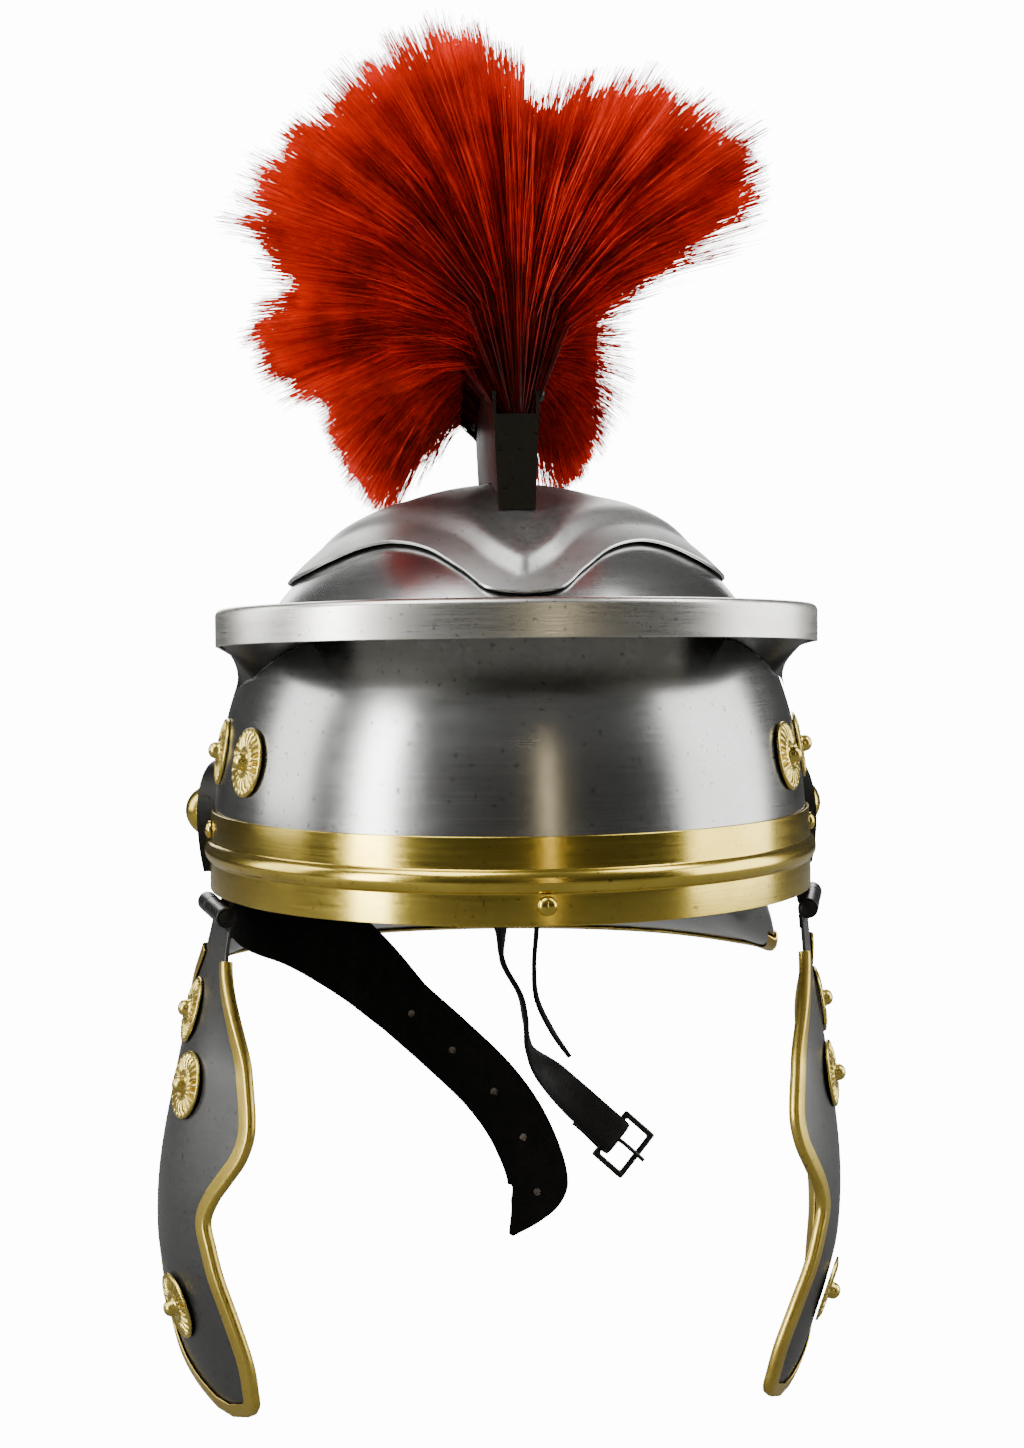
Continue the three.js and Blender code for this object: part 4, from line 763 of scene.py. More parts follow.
def neck_row(away, lift, steps=24):
    """The neck guard's section at a turn away from the nape."""
    share = abs(away) / NECK_HALF_TURN
    rows = [wall_point(math.pi + away, NECK_OVERLAP * (1 - s), FIT_GAP + lift) for s in spread(4)[:-1]]
    knots = [(i / (len(NECK_STEPS) - 1), *step) for i, step in enumerate(NECK_STEPS)]
    for s in spread(steps):
        down, out = read_table(knots, s, 1), read_table(knots, s, 2)
        reach = out * NECK_REACH * read_table(NECK_SECTIONS, share, 1)
        drop = down * NECK_DROP * read_table(NECK_SECTIONS, share, 2)
        point = wall_point(math.pi + away, 0, FIT_GAP + lift + reach)
        rows.append(vec(point.x, point.y, -drop))
    return rows


def set_off(face, distance):
    """The sheet's other face, set off along its own normal."""
    last = len(face) - 1
    other = []
    for i, row in enumerate(face):
        line = []
        for j, point in enumerate(row):
            beside = face[min(i + 1, last)][j] - face[max(i - 1, 0)][j]
            down = row[min(j + 1, len(row) - 1)] - row[max(j - 1, 0)]
            line.append(point + beside.cross(down).normalized() * distance)
        other.append(line)
    return other


def edging(outline, lip, wall):
    """A rounded channel folded over a plate's edge: outline is (place, outward, up)."""
    half = STEEL / 2 + 1.5 * FIT_GAP
    arc = spread(10, math.pi / 2, -math.pi / 2)
    outer, inner = [], []
    for at, out, up in outline:
        whole = half + wall
        round_out = [at + out * (FIT_GAP + whole * math.cos(a) * EDGING_ROUND_OUT) + up * whole * math.sin(a)
                     for a in arc]
        round_in = [at + out * (FIT_GAP + half * math.cos(a) * EDGING_ROUND_IN) + up * half * math.sin(a)
                    for a in arc]
        foot = at - out * lip
        leaf = half + EDGING_LEAF * wall
        outer.append([foot + up * leaf, *round_out, foot - up * leaf])
        inner.append([foot + up * half, *round_in, foot - up * half])
    return sheet(outer, inner)


def build_neck_guard(looks):
    """The neck guard's sheet and the brass channel over its edge."""
    aways = spread(96, -NECK_HALF_TURN, NECK_HALF_TURN)
    outer = [neck_row(away, STEEL) for away in aways]
    inner = set_off(outer, STEEL)
    make_piece("neck_guard_fine", sheet(outer, inner), [looks["bowl"], looks["cut_edge"]], HELMET_BODY,
               ["neck_guard"])
    outline = []
    for row, under in zip(outer, inner):
        outline.append((row[-1].lerp(under[-1], 0.5), (row[-1] - row[-2]).normalized(),
                        (row[-1] - under[-1]).normalized()))
    make_piece("neck_guard_edging_fine", edging(outline[5:-5], NECK_LIP, BRASS), [looks["edging"]],
               HELMET_BODY, ["neck_guard_edging"], bevel=0.12)


def build_ears(looks):
    """The flange over each ear, lower at its top and ends, and the boss in it."""
    for name, side in SIDES.items():
        outer, inner = [], []
        for share in spread(72, 0.03, 0.97):
            angle = share * math.pi
            stand = mix(EAR_FLANGE_LOWEST, 1, abs(math.sin(2 * angle)) ** 0.7) * EAR_FLANGE

            def at(inset, lift):
                back = EAR_CENTRE_BACK - (EAR_HALF_WIDTH - inset) * math.cos(angle)
                height = (EAR_HEIGHT - inset) * math.sin(angle) + 1
                point = dome_point(turn_at_back(back), climb_at(height), FIT_GAP + lift)
                return vec(side * point.x, point.y, point.z)

            outer.append([at(EAR_LEAF, 0), at(0.5 * EAR_LEAF, 0), at(0, 0), at(0, stand / 2), at(0, stand)])
            inner.append([at(EAR_LEAF, STEEL), at(0.5 * EAR_LEAF + STEEL / 2, STEEL), at(STEEL, STEEL),
                          at(STEEL, stand / 2), at(STEEL, stand)])
        # The flanges take the near-black steel as painted shade on their front faces.
        make_piece(f"ear_guard_{name}_fine", sheet(outer, inner), [looks["dark"]], HELMET_BODY,
                   [f"ear_guard_{name}"])
        r, h = BOSS_RADIUS, BOSS_HEIGHT
        profile = [(0, 0), (r, 0), (r, 0.1 * h)]
        profile += [(0.98 * r * math.cos(a), 0.12 * h + 0.88 * h * math.sin(a))
                    for a in spread(14, 0.05, math.pi / 2)]
        frame_of = disc_frame(f"ear_boss_{name}", vec(side, 0, 0))
        make_piece(f"ear_boss_{name}_fine", moved(lathe(profile, 64), frame_of), [looks["band"]],
                   HELMET_BODY, [f"ear_boss_{name}"], bevel=0.2)


# Rosettes
FLUTES = 22


def rosette_shape(sides=8 * FLUTES):
    """A thin dished disc: hollow round the knob, a raised ring, radial flutes and a rolled rim."""
    r, dish = ROSETTE_RADIUS, ROSETTE_DISH
    rings = [(1.2, 0.62, 0), (3.4, 0.62, 0), (3.9, 0.95, 0), (4.6, 1.0, 0), (5.1, 0.72, 0.1),
             (5.6, 0.68, 0.6), (0.6 * r, 0.64, 1.0), (0.78 * r, 0.52, 1.0), (0.88 * r, 0.42, 0.6),
             (0.91 * r, 0.5, 0.1), (0.95 * r, 0.56, 0), (0.985 * r, 0.45, 0), (r, 0.22, 0)]
    top, under = [], []
    for a in spread(sides, 0, 2 * math.pi)[:-1]:
        ridge = abs(math.sin(a * FLUTES / 2)) ** 0.8
        top.append([vec(q * math.cos(a), q * math.sin(a), dish * (high + flute * (ridge - 0.6)))
                    for q, high, flute in rings])
        under.append([vec(q * math.cos(a), q * math.sin(a), 0) for q, _, _ in rings])
    return sheet(top, under, wrap=True)


def knob_shape():
    """A round knob on a low collar."""
    r, seat = KNOB_RADIUS, ROSETTE_DISH * 0.62
    profile = [(0, seat - 0.2), (1.12 * r, seat - 0.2), (1.12 * r, seat + 0.12 * r),
               (0.98 * r, seat + 0.26 * r), (0.94 * r, seat + 0.5 * r)]
    profile += [(0.94 * r * math.cos(a), seat + 0.55 * r + 0.8 * r * math.sin(a))
                for a in spread(7, 0.1, math.pi / 2)]
    return lathe(profile, 36)


def build_rosettes(looks):
    """Every rosette and its knob, each over its own node of the frame."""
    names = [f"bowl_rosette_{spot}_{name}" for spot in ("front", "back") for name in SIDES]
    names += [f"cheek_rosette_{spot}_{name}" for spot in ("upper", "middle", "lower") for name in SIDES]
    for node in names:
        name = node.rsplit("_", 1)[1]
        body = CHEEK_BODY[name] if node.startswith("cheek") else HELMET_BODY
        frame_of = disc_frame(node, vec(SIDES[name], 0, 0))
        if "_lower_" in node:
            # The plate is drawn in a little further than its solid here, and the rosette follows it.
            hinge = hinge_matrix(name).to_3x3()
            turn = hinge @ Matrix.Rotation(LOWER_ROSETTE_TURN, 3, "Y") @ hinge.inverted()
            place = frame_of.translation + hinge @ vec(-LOWER_ROSETTE_INSET, 0, 0)
            frame_of = Matrix.Translation(place) @ (turn @ frame_of.to_3x3()).to_4x4()
        make_piece(f"{node}_fine", moved(rosette_shape(), frame_of), [looks["rosette"]], body, [node],
                   bevel=0, angle=60)
        make_piece(f"{node}_knob_fine", moved(knob_shape(), frame_of), [looks["rosette"]], body,
                   [f"{node}_knob"], bevel=0.1)


# Cheek guards: columns are the share of the length, and front and back edges as shares of the width
CHEEK_OUTLINE = [
    (0.03, 0.2, -0.2), (0.1, 0.21, -0.24), (0.2, 0.32, -0.4), (0.3, 0.42, -0.46), (0.4, 0.49, -0.49),
    (0.46, 0.48, -0.5), (0.51, 0.43, -0.5), (0.56, 0.37, -0.5), (0.61, 0.335, -0.49), (0.66, 0.37, -0.47),
    (0.77, 0.446, -0.4), (0.86, 0.48, -0.29), (0.93, 0.47, -0.13), (0.975, 0.43, 0.05), (1, 0.3, 0.2),
]
CHEEK_PROFILE = [(0, 0), (0.15, 0.2), (0.35, 0.75), (0.55, 1), (0.7, 0.62), (0.8, -0.15), (0.88, -0.95),
                 (0.95, -1.7), (1, -2.4)]
LOWER_ROSETTE_INSET = 3.2
LOWER_ROSETTE_TURN = math.radians(3.7)


def cheek_point(down, forward, lift, twist):
    """A point of the plate in the hinge's frame (x out, y back along the pin, z up), and its normal."""
    def at(s, w):
        curl = w * w / (2 * CHEEK_CURVE_RADIUS) + w * math.tan(twist)
        bulge = CHEEK_BULGE * read_table(CHEEK_PROFILE, s, 1)
        out = STEEL - HINGE_RADIUS + bulge - smooth(0.03, 0.3, s) * curl
        return vec(out, -w, -s * CHEEK_LENGTH)

    step = 0.01
    downward = at(min(down + step, 1), forward) - at(down - step, forward)
    along = at(down, forward + 1) - at(down, forward - 1)
    normal = downward.cross(along).normalized()
    if normal.x < 0:
        normal.negate()
    return at(down, forward) + normal * lift, normal


def hinge_matrix(name, swung=True):
    """From the hinge's frame to the helmet's, mirrored for the right side."""
    turn = turn_at_back(-HINGE_CENTRE_FORWARD)
    rim = wall_point(turn, 0, HINGE_OUT)
    normal = dome_normal(turn, 0)
    out = vec(normal.x, normal.y, 0).normalized()
    back = vec(-out.y, out.x, math.tan(HINGE_RISE)).normalized()
    up = out.cross(back).normalized()
    axes = Matrix((out, back, up)).transposed().to_4x4()
    place = Matrix.Translation(vec(rim.x, rim.y, -HINGE_DROP)) @ axes
    if swung:
        place = place @ Matrix.Rotation(-CHEEK_SPLAY[name], 4, "Y")
    return Matrix.Diagonal((SIDES[name], 1, 1, 1)) @ place


def tube(radius, bore, low, high, sides=40):
    """A hinge knuckle along local Y with rounded lips."""
    lip = 0.3
    profile = [(bore, low), (radius - lip, low), (radius, low + lip), (radius, high - lip),
               (radius - lip, high), (bore, high), (bore, low)]
    turn = Matrix.Rotation(-math.pi / 2, 4, "X")
    return moved(lathe(profile, sides), turn)


def plate_block(size, middle):
    """A small rounded block between two corners, as a grid body."""
    half = size / 2
    face = [[middle + vec(half.x, s * half.y, t * half.z) for t in (-1, 1)] for s in (-1, 1)]
    back = [[middle + vec(-half.x, s * half.y, t * half.z) for t in (-1, 1)] for s in (-1, 1)]
    return sheet(face, back)


def cheek_stations(count):
    """Shares of the length with the outline's front and back there."""
    return [(s, read_table(CHEEK_OUTLINE, s, 1), read_table(CHEEK_OUTLINE, s, 2))
            for s in spread(count, CHEEK_OUTLINE[0][0], 1)]


def cheek_shapes(twist):
    """The plate and its edging in the hinge's frame."""
    stations = cheek_stations(110)
    plate = sheet(*[[[cheek_point(s, mix(front, back, c) * CHEEK_WIDTH, lift, twist)[0] for c in spread(22)]
                     for s, front, back in stations] for lift in (0, -STEEL)])
    below = [station for station in stations if station[0] > CHEEK_OUTLINE[1][0] * 0.9]
    path = [(s, front) for s, front, _ in below] + [(s, back) for s, _, back in reversed(below)]
    places = [cheek_point(s, w * CHEEK_WIDTH, -STEEL / 2, twist) for s, w in path]
    centre = cheek_point(0.5, 0, 0, twist)[0]
    outline = []
    for i, (point, normal) in enumerate(places):
        before, after = places[max(i - 1, 0)][0], places[min(i + 1, len(places) - 1)][0]
        outline.append((point, (after - before).cross(normal).normalized(), normal))
    sample = outline[len(below) // 2]
    if sample[1].dot(sample[0] - centre) < 0:
        outline = [(point, -out, normal) for point, out, normal in outline]
    return plate, edging(outline, CHEEK_EDGE_FACE, BRASS)


def build_cheeks(looks):
    """Each cheek guard with its edging and knuckles, and its hinge pin and leaf."""
    inner = HINGE_LENGTH / 6 + FIT_GAP
    width = HINGE_LENGTH / 2 - inner
    bore = HINGE_PIN_RADIUS * 1.06 + FIT_GAP
    top = CHEEK_OUTLINE[0][0] * 1.4 * CHEEK_LENGTH
    size = vec(STEEL, 0.8 * width, top)
    tongues = [plate_block(size, vec(STEEL / 2 - HINGE_RADIUS, end * (inner + 0.4 * width), -top / 2))
               for end in (-1, 1)]
    knuckles = [tube(HINGE_RADIUS, bore, -inner - width, -inner),
                tube(HINGE_RADIUS, bore, inner, inner + width)]
    end = HINGE_LENGTH / 2 + FIT_GAP
    pin = [(0, -end - 1), (1.3 * HINGE_PIN_RADIUS, -end - 1), (1.7 * HINGE_PIN_RADIUS, -end - 0.75),
           (1.7 * HINGE_PIN_RADIUS, -end), (HINGE_PIN_RADIUS, -end)]
    pin += [(r, -y) for r, y in reversed(pin)]
    for name in SIDES:
        swung = hinge_matrix(name)
        body = CHEEK_BODY[name]
        plate, edge = cheek_shapes(CHEEK_TWIST[name])
        # The plates take the darkened cheek steel, painted shade on the cheek guards.
        make_piece(f"cheek_guard_{name}_fine", moved(plate, swung), [looks["cheek"]], body,
                   [f"cheek_guard_{name}"])
        make_piece(f"cheek_edging_{name}_fine", moved(edge, swung), [looks["edging"]], body,
                   [f"cheek_edging_{name}"], bevel=0.12)
        make_piece(f"cheek_knuckles_{name}", moved(joined(knuckles + tongues), swung), [looks["dark"]], body,
                   (), bevel=0.15)
        turned = hinge_matrix(name, swung=False) @ Matrix.Rotation(-math.pi / 2, 4, "X")
        make_piece(f"hinge_pin_{name}_fine", moved(lathe(pin, 32), turned), [looks["dark"]], HELMET_BODY,
                   [f"hinge_pin_{name}"], bevel=0)
        refined(f"hinge_leaf_{name}", looks["dark"], HELMET_BODY)


# Straps: a ribbon along a smooth line with its own width and facing
STRAP_ROOT_HEIGHTS = (10, 1.5)


def catmull(points, share):
    """A point on the centripetal curve through the given points."""
    spans = len(points) - 1
    i = min(int(share * spans), spans - 1)
    local = share * spans - i
    p1, p2 = points[i], points[i + 1]
    p0 = points[i - 1] if i else p1 * 2 - p2
    p3 = points[i + 2] if i + 2 <= spans else p2 * 2 - p1
    d0, d1, d2 = [max((b - a).length ** 0.5, 1e-4) for a, b in ((p0, p1), (p1, p2), (p2, p3))]
    t1 = ((p1 - p0) / d0 - (p2 - p0) / (d0 + d1) + (p2 - p1) / d1) * d1
    t2 = ((p2 - p1) / d1 - (p3 - p1) / (d1 + d2) + (p3 - p2) / d2) * d1
    s2, s3 = local ** 2, local ** 3
    return (p1 * (2 * s3 - 3 * s2 + 1) + t1 * (s3 - 2 * s2 + local) + p2 * (3 * s2 - 2 * s3) + t2 * (s3 - s2))


def ribbon_stations(rows, count):
    """rows are (place, face, width); gives (place, along, face, across, half width)."""
    places = [row[0] for row in rows]
    last = len(rows) - 1
    stations = []
    for share in spread(count):
        at = catmull(places, share)
        along = (catmull(places, min(share + 1e-3, 1)) - catmull(places, max(share - 1e-3, 0))).normalized()
        i = min(int(share * last), last - 1)
        blend = share * last - i
        face = rows[i][1].lerp(rows[i + 1][1], blend)
        face = (face - along * face.dot(along)).normalized()
        half = mix(rows[i][2], rows[i + 1][2], blend) / 2
        stations.append((at, along, face, along.cross(face).normalized(), half))
    return stations


def ribbon(stations, thick, columns=8):
    """A strap whose two long edges are slightly thinned and rounded."""
    def face_grid(sign):
        grid = []
        for at, _, face, across, half in stations:
            row = []
            for share in spread(columns, -1, 1):
                thinner = thick / 2 * (1 - 0.3 * abs(share) ** 8)
                row.append(at + across * share * half + face * sign * thinner)
            grid.append(row)
        return grid
    return sheet(face_grid(1), face_grid(-1))


def strap_root(turn, width, thick):
    """The strap's first rows, flat against the inside of the bowl."""
    curve = BOWL_HALF_LENGTH ** 2 / BOWL_HALF_WIDTH
    off = STEEL + 3 * FIT_GAP + thick / 2 + (width / 2) ** 2 / (2 * min(curve, BOWL_HALF_WIDTH))
    face = -dome_normal(turn, 0)
    return [(wall_point(turn, height, -off), face, width) for height in STRAP_ROOT_HEIGHTS]


# Shares of reach and drop, narrowing, facing in degrees from the wall toward the brow, taper
HOLED_ROWS = [
    (0.05, 0.045, 0, 22, 1), (0.24, 0.12, 0.25, 58, 1), (0.42, 0.235, 0.62, 80, 1), (0.565, 0.357, 1, 90, 1),
    (0.69, 0.456, 1, 90, 1), (0.85, 0.596, 1, 90, 1), (0.945, 0.725, 1, 90, 1), (0.995, 0.87, 1, 90, 1),
    (0.96, 0.94, 1, 90, 0.62), (0.905, 1.01, 1, 90, 0.08),
]
HOLED_WIDTH = 20.8
HOLED_ROOT_WIDTH = 33
HOLED_REACH = 104
HOLED_DROP = 121
HOLED_ROOT_BACK = 4
HOLE_RADIUS = 1.2
HOLE_COUNT = 5
HOLE_FROM_END = 17
HOLE_PITCH = 19.5
HOLE_FLOOR = -0.5
HOLE_CUT_HEIGHT = 4

# Shares of swing and drop, and facing in degrees from the brow toward +X
BUCKLE_ROWS = [(0, 0.13, 25), (0, 0.3, 75), (0.01, 0.4, 90), (0.17, 0.52, 90), (0.21, 0.6, 90),
               (0.25, 0.71, 80), (0.5, 0.82, 48), (0.78, 0.925, 25), (1, 1, 25)]
BUCKLE_WIDTH = 14
BUCKLE_DROP = 112
BUCKLE_SWING = 42.5
BUCKLE_ASIDE = 3.5
BUCKLE_WIRE = 2.2
BUCKLE_PLY = 14

TIE_ROWS = [(0, 0.14, 30, 1), (-0.02, 0.38, 80, 1), (-0.12, 0.57, 85, 1), (-0.05, 0.72, 80, 1),
            (0.45, 0.88, 75, 0.7), (1, 1, 70, 0.12)]
TIE_WIDTH = 5
TIE_DROP = 82
TIE_SWING = 12
TIE_ASIDE = 18
TIE_THICKNESS = 1.8


def facing_from_brow(degrees):
    """A level direction, turned from the brow toward +X."""
    turned = math.radians(degrees)
    return vec(math.sin(turned), -math.cos(turned), 0)


def build_holed_strap(looks):
    """The wide strap with its punched holes and slanted tip."""
    turn = -turn_at_back(HOLED_ROOT_BACK)
    root = strap_root(turn, HOLED_ROOT_WIDTH, LEATHER)
    start = root[1][0]
    rows = []
    for reach, drop, narrow, facing, taper in HOLED_ROWS:
        turned = math.radians(facing)
        rows.append((vec(start.x + reach * HOLED_REACH, start.y - 3 * math.sin(turned), -drop * HOLED_DROP),
                     vec(math.cos(turned), -math.sin(turned), 0),
                     mix(HOLED_ROOT_WIDTH, HOLED_WIDTH, narrow) * taper))
    stations = ribbon_stations(root + rows, 130)
    strap = make_piece("holed_strap_fine", ribbon(stations, LEATHER), [looks["leather"]], HELMET_BODY,
                       ["holed_strap"], bevel=0)
    walked, following, punches = 0.0, HOLE_FROM_END, []
    for after, before in zip(reversed(stations), reversed(stations[:-1])):
        walked += (after[0] - before[0]).length
        if walked >= following and len(punches) < HOLE_COUNT:
            turn_to = before[2].to_track_quat("Z", "Y").to_matrix().to_4x4()
            bar = lathe([(0, HOLE_FLOOR), (HOLE_RADIUS, HOLE_FLOOR), (HOLE_RADIUS, HOLE_CUT_HEIGHT),
                         (0, HOLE_CUT_HEIGHT)], 24)
            punches.append(moved(bar, Matrix.Translation(before[0]) @ turn_to))
            following += HOLE_PITCH
    # The strap is lined, so each punched hole ends in the undyed middle of the leather.
    strap.data.materials.append(looks["raw_leather"])
    cutter = make_piece("strap_punch", joined(punches), [looks["leather"], looks["raw_leather"]], HELMET_BODY,
                        bevel=0)
    for polygon in cutter.data.polygons:
        polygon.material_index = 1
    holes = strap.modifiers.new("punched_holes", "BOOLEAN")
    holes.operation = "DIFFERENCE"
    holes.object = cutter
    bpy.context.view_layer.objects.active = strap
    bpy.ops.object.modifier_apply(modifier=holes.name)
    bpy.data.objects.remove(cutter)
    strap.data.set_sharp_from_angle(angle=math.radians(40))


def build_buckle_strap(looks):
    """The strap that goes round the buckle's bar, and the buckle."""
    turn = math.pi - math.asin(BUCKLE_ASIDE / BOWL_HALF_WIDTH)
    root = strap_root(turn, BUCKLE_WIDTH, LEATHER)
    start = root[1][0]
    rows = [(vec(start.x + swing * BUCKLE_SWING, start.y - 8 * drop, -drop * BUCKLE_DROP),
             facing_from_brow(facing), BUCKLE_WIDTH) for swing, drop, facing in BUCKLE_ROWS]
    stations = ribbon_stations(root + rows, 120)
    at, along, face, across, half = stations[-1]

    # The end goes round the buckle's bar and comes back behind itself.
    loop = BUCKLE_WIRE / 2 * math.sqrt(2) + FIT_GAP + LEATHER / 2
    bar = at - face * loop
    end = (along, -face, across, half)
    for angle in spread(16, 0, math.pi)[1:]:
        outward = face * math.cos(angle) + along * math.sin(angle)
        stations.append((bar + outward * loop, along, outward, across, half))
    plies = loop - (LEATHER + FIT_GAP) / 2
    back_knots = [(0, 0), (0.3, 0.4), (0.6, 1), (1, 1)]
    for backward in spread(14, 0.07, 1):
        nearer = face * read_table(back_knots, backward, 1) * 1.2 * plies
        stations.append((bar - face * loop - along * backward * BUCKLE_PLY + nearer, *end))
    make_piece("buckle_strap_fine", ribbon(stations, LEATHER), [looks["leather"]], HELMET_BODY,
               ["buckle_strap"], bevel=0)
    refined("buckle_frame", looks["dark"], HELMET_BODY, bevel=0.7)
    refined("buckle_prong", looks["dark"], HELMET_BODY, bevel=0.1, angle=75)


def build_tie_strap(looks):
    """The narrow tie."""
    turn = math.pi - math.asin(TIE_ASIDE / BOWL_HALF_WIDTH)
    root = strap_root(turn, TIE_WIDTH, TIE_THICKNESS)
    start = root[1][0]
    rows = [(vec(start.x + swing * TIE_SWING, start.y - 6 * drop, -drop * TIE_DROP), facing_from_brow(facing),
             TIE_WIDTH * taper) for swing, drop, facing, taper in TIE_ROWS]
    make_piece("tie_strap_fine", ribbon(ribbon_stations(root + rows, 110), TIE_THICKNESS),
               [looks["leather"]], HELMET_BODY, ["tie_strap"], bevel=0)


def build_crest_box(looks):
    """The channel that holds the hair, and its two pins."""
    refined("crest_box", looks["dark"], HELMET_BODY, bevel=0.35)
    for node in ("crest_pin_front", "crest_pin_rear"):
        refined(node, looks["dark"], HELMET_BODY, bevel=0.2, angle=50)


# Hair of the crest: tilt across in degrees, and the share of the hair's length there
HAIR_OUTLINE = [
    (-95, 0.62), (-87, 0.7), (-79, 0.73), (-71, 0.66), (-66, 0.68), (-59, 0.86), (-47, 0.93), (-36, 0.92),
    (-26, 0.985), (-20, 0.975), (-10, 1.01), (-3, 0.92), (2.5, 0.8), (9.8, 0.77), (13.5, 0.86), (21, 0.9),
    (33, 0.935), (44, 0.91), (51.6, 0.87), (56, 0.68),
]

# The same at the rear of the box, where the hair is shorter and falls to both sides
HAIR_REAR_OUTLINE = [(-142, 0.56), (-125, 0.55), (-100, 0.56), (-60, 0.6), (0, 0.66), (50, 0.44),
                     (90, 0.31), (125, 0.37), (153, 0.4)]

# Columns are the share along the box, backward lean in degrees, and the changes to the rear's fan, to its
# length at the sides and to its length at the top
HAIR_ROWS = [(0, -12, 0, 0, 0), (0.3, 0, 0, 0, 0), (0.52, 10, 0, 0.3, 0.04), (0.62, 15.5, 0.12, 0.9, 0.1),
             (0.7, 21, 0.75, 1, 0.22), (0.78, 26.5, 1, 1, 0.36), (0.92, 37, 1, 1, 0.8), (1, 44, 1, 1, 1)]
HAIR_SIDES = (-95.0, 56.0)
HAIR_REAR_SIDES = (-142.0, 153.0)
HAIR_SEGMENTS = 3

# Stray turn across and lean in degrees and stray length, for a whole tuft and for a strand of its own
TUFT_TURN, TUFT_LEAN, TUFT_LENGTH = 2.3, 2.2, 0.036
STRAND_TURN, STRAND_LEAN, STRAND_LENGTH = 0.9, 2.0, 0.035
MEAN_LENGTH, SHORTEST, LONGEST = 0.95, 0.6, 1.035
BROKEN_SHORTEST, BROKEN_LONGEST = 0.45, 0.9

# Share of its width that a strand loses toward the tip, and the stray of its colour along the ramp
STRAND_TAPER = 0.62
COLOUR_STRAY = 0.09

# How deep the roots sit in the box, the straight rise out of it, and the share of the turn at the root
ROOT_DEPTH = 9
NECK_RISE = 10
ROOT_TURN = 0.28


def table_column(rows, at, column):
    """The eased table over an array of places."""
    knots = np.linspace(rows[0][0], rows[-1][0], 240)
    values = [read_table(rows, k, column) for k in knots]
    return np.interp(at, knots, values)


def hair_strands(count, low, high, seed, settings):
    """Points of every strand: count x (segments + 1) x 3, in millimetres above the rim."""
    rng = np.random.default_rng(seed)
    along = rng.uniform(low, high, count)
    across = rng.uniform(0, 1, count)
    front = HAIR_SIDES[0] + (HAIR_SIDES[1] - HAIR_SIDES[0]) * across
    rear = HAIR_REAR_SIDES[0] + (HAIR_REAR_SIDES[1] - HAIR_REAR_SIDES[0]) * across
    change = table_column(HAIR_ROWS, along, 2)
    # Tufts: neighbouring strands share part of their stray turn and length.
    tufts = np.floor(across * settings.tufts_across) + 97 * np.floor(along * settings.tufts_along)
    stray = np.random.default_rng(seed + 1).normal(0, 1, (int(tufts.max()) + 1, 3))[tufts.astype(int)]
    aside = np.clip((np.abs(front + (rear - front) * change) - 20) / 30, 0, 1)
    shorter = table_column(HAIR_ROWS, along, 4) * (1 - aside) + table_column(HAIR_ROWS, along, 3) * aside
    length = settings.length * (table_column(HAIR_OUTLINE, front, 1) * (1 - shorter)
                                + table_column(HAIR_REAR_OUTLINE, rear, 1) * shorter)
    own = np.abs(rng.normal(0, STRAND_LENGTH, count))
    length *= np.clip(MEAN_LENGTH + TUFT_LENGTH * stray[:, 0] - own, SHORTEST, LONGEST)
    short = rng.random(count) < settings.short_share
    length[short] *= rng.uniform(BROKEN_SHORTEST, BROKEN_LONGEST, int(short.sum()))
    tilt = front + (rear - front) * change + TUFT_TURN * stray[:, 1]
    lean = table_column(HAIR_ROWS, along, 1) + TUFT_LEAN * stray[:, 2]
    a = np.radians(tilt + rng.normal(0, STRAND_TURN, count))
    b = np.radians(lean + rng.normal(0, STRAND_LEAN, count))

    inset = STEEL + 2 * FIT_GAP
    back = -CREST_FRONT + inset + (CREST_FRONT + CREST_BACK - 2 * inset) * along
    seat = np.interp(back, np.linspace(-70, 70, 141), [crest_seat(y) for y in np.linspace(-70, 70, 141)])
    half = CREST_TOP_WIDTH / 2 - STEEL - FIT_GAP - 0.6
    beside = half * (2 * across - 1) * 0.9 + rng.normal(0, 0.3, count)
    root = np.stack([beside, back, seat + CREST_SIDE_HEIGHT - ROOT_DEPTH], 1)

    def heading(share):
        return np.stack([np.sin(a * share) * np.cos(b / 2), np.sin(b * (0.5 + share / 2)),
                         np.cos(a * share) * np.cos(b)], 1)

    first, final = heading(ROOT_TURN), heading(1.0)
    curl = rng.normal(0, 1.0, (count, 3))
    points = np.empty((count, HAIR_SEGMENTS + 1, 3))
    neck = np.array([0, 0, float(NECK_RISE)])
    for i in range(HAIR_SEGMENTS + 1):
        t = i / HAIR_SEGMENTS
        bow = settings.curl * math.sin(math.pi * t) ** 2
        points[:, i] = (root + neck * min(3 * t, 1) + first * (0.9 * length * t * (1 - t))[:, None]
                        + final * (length * t * t)[:, None] + curl * bow)
    return points, rng


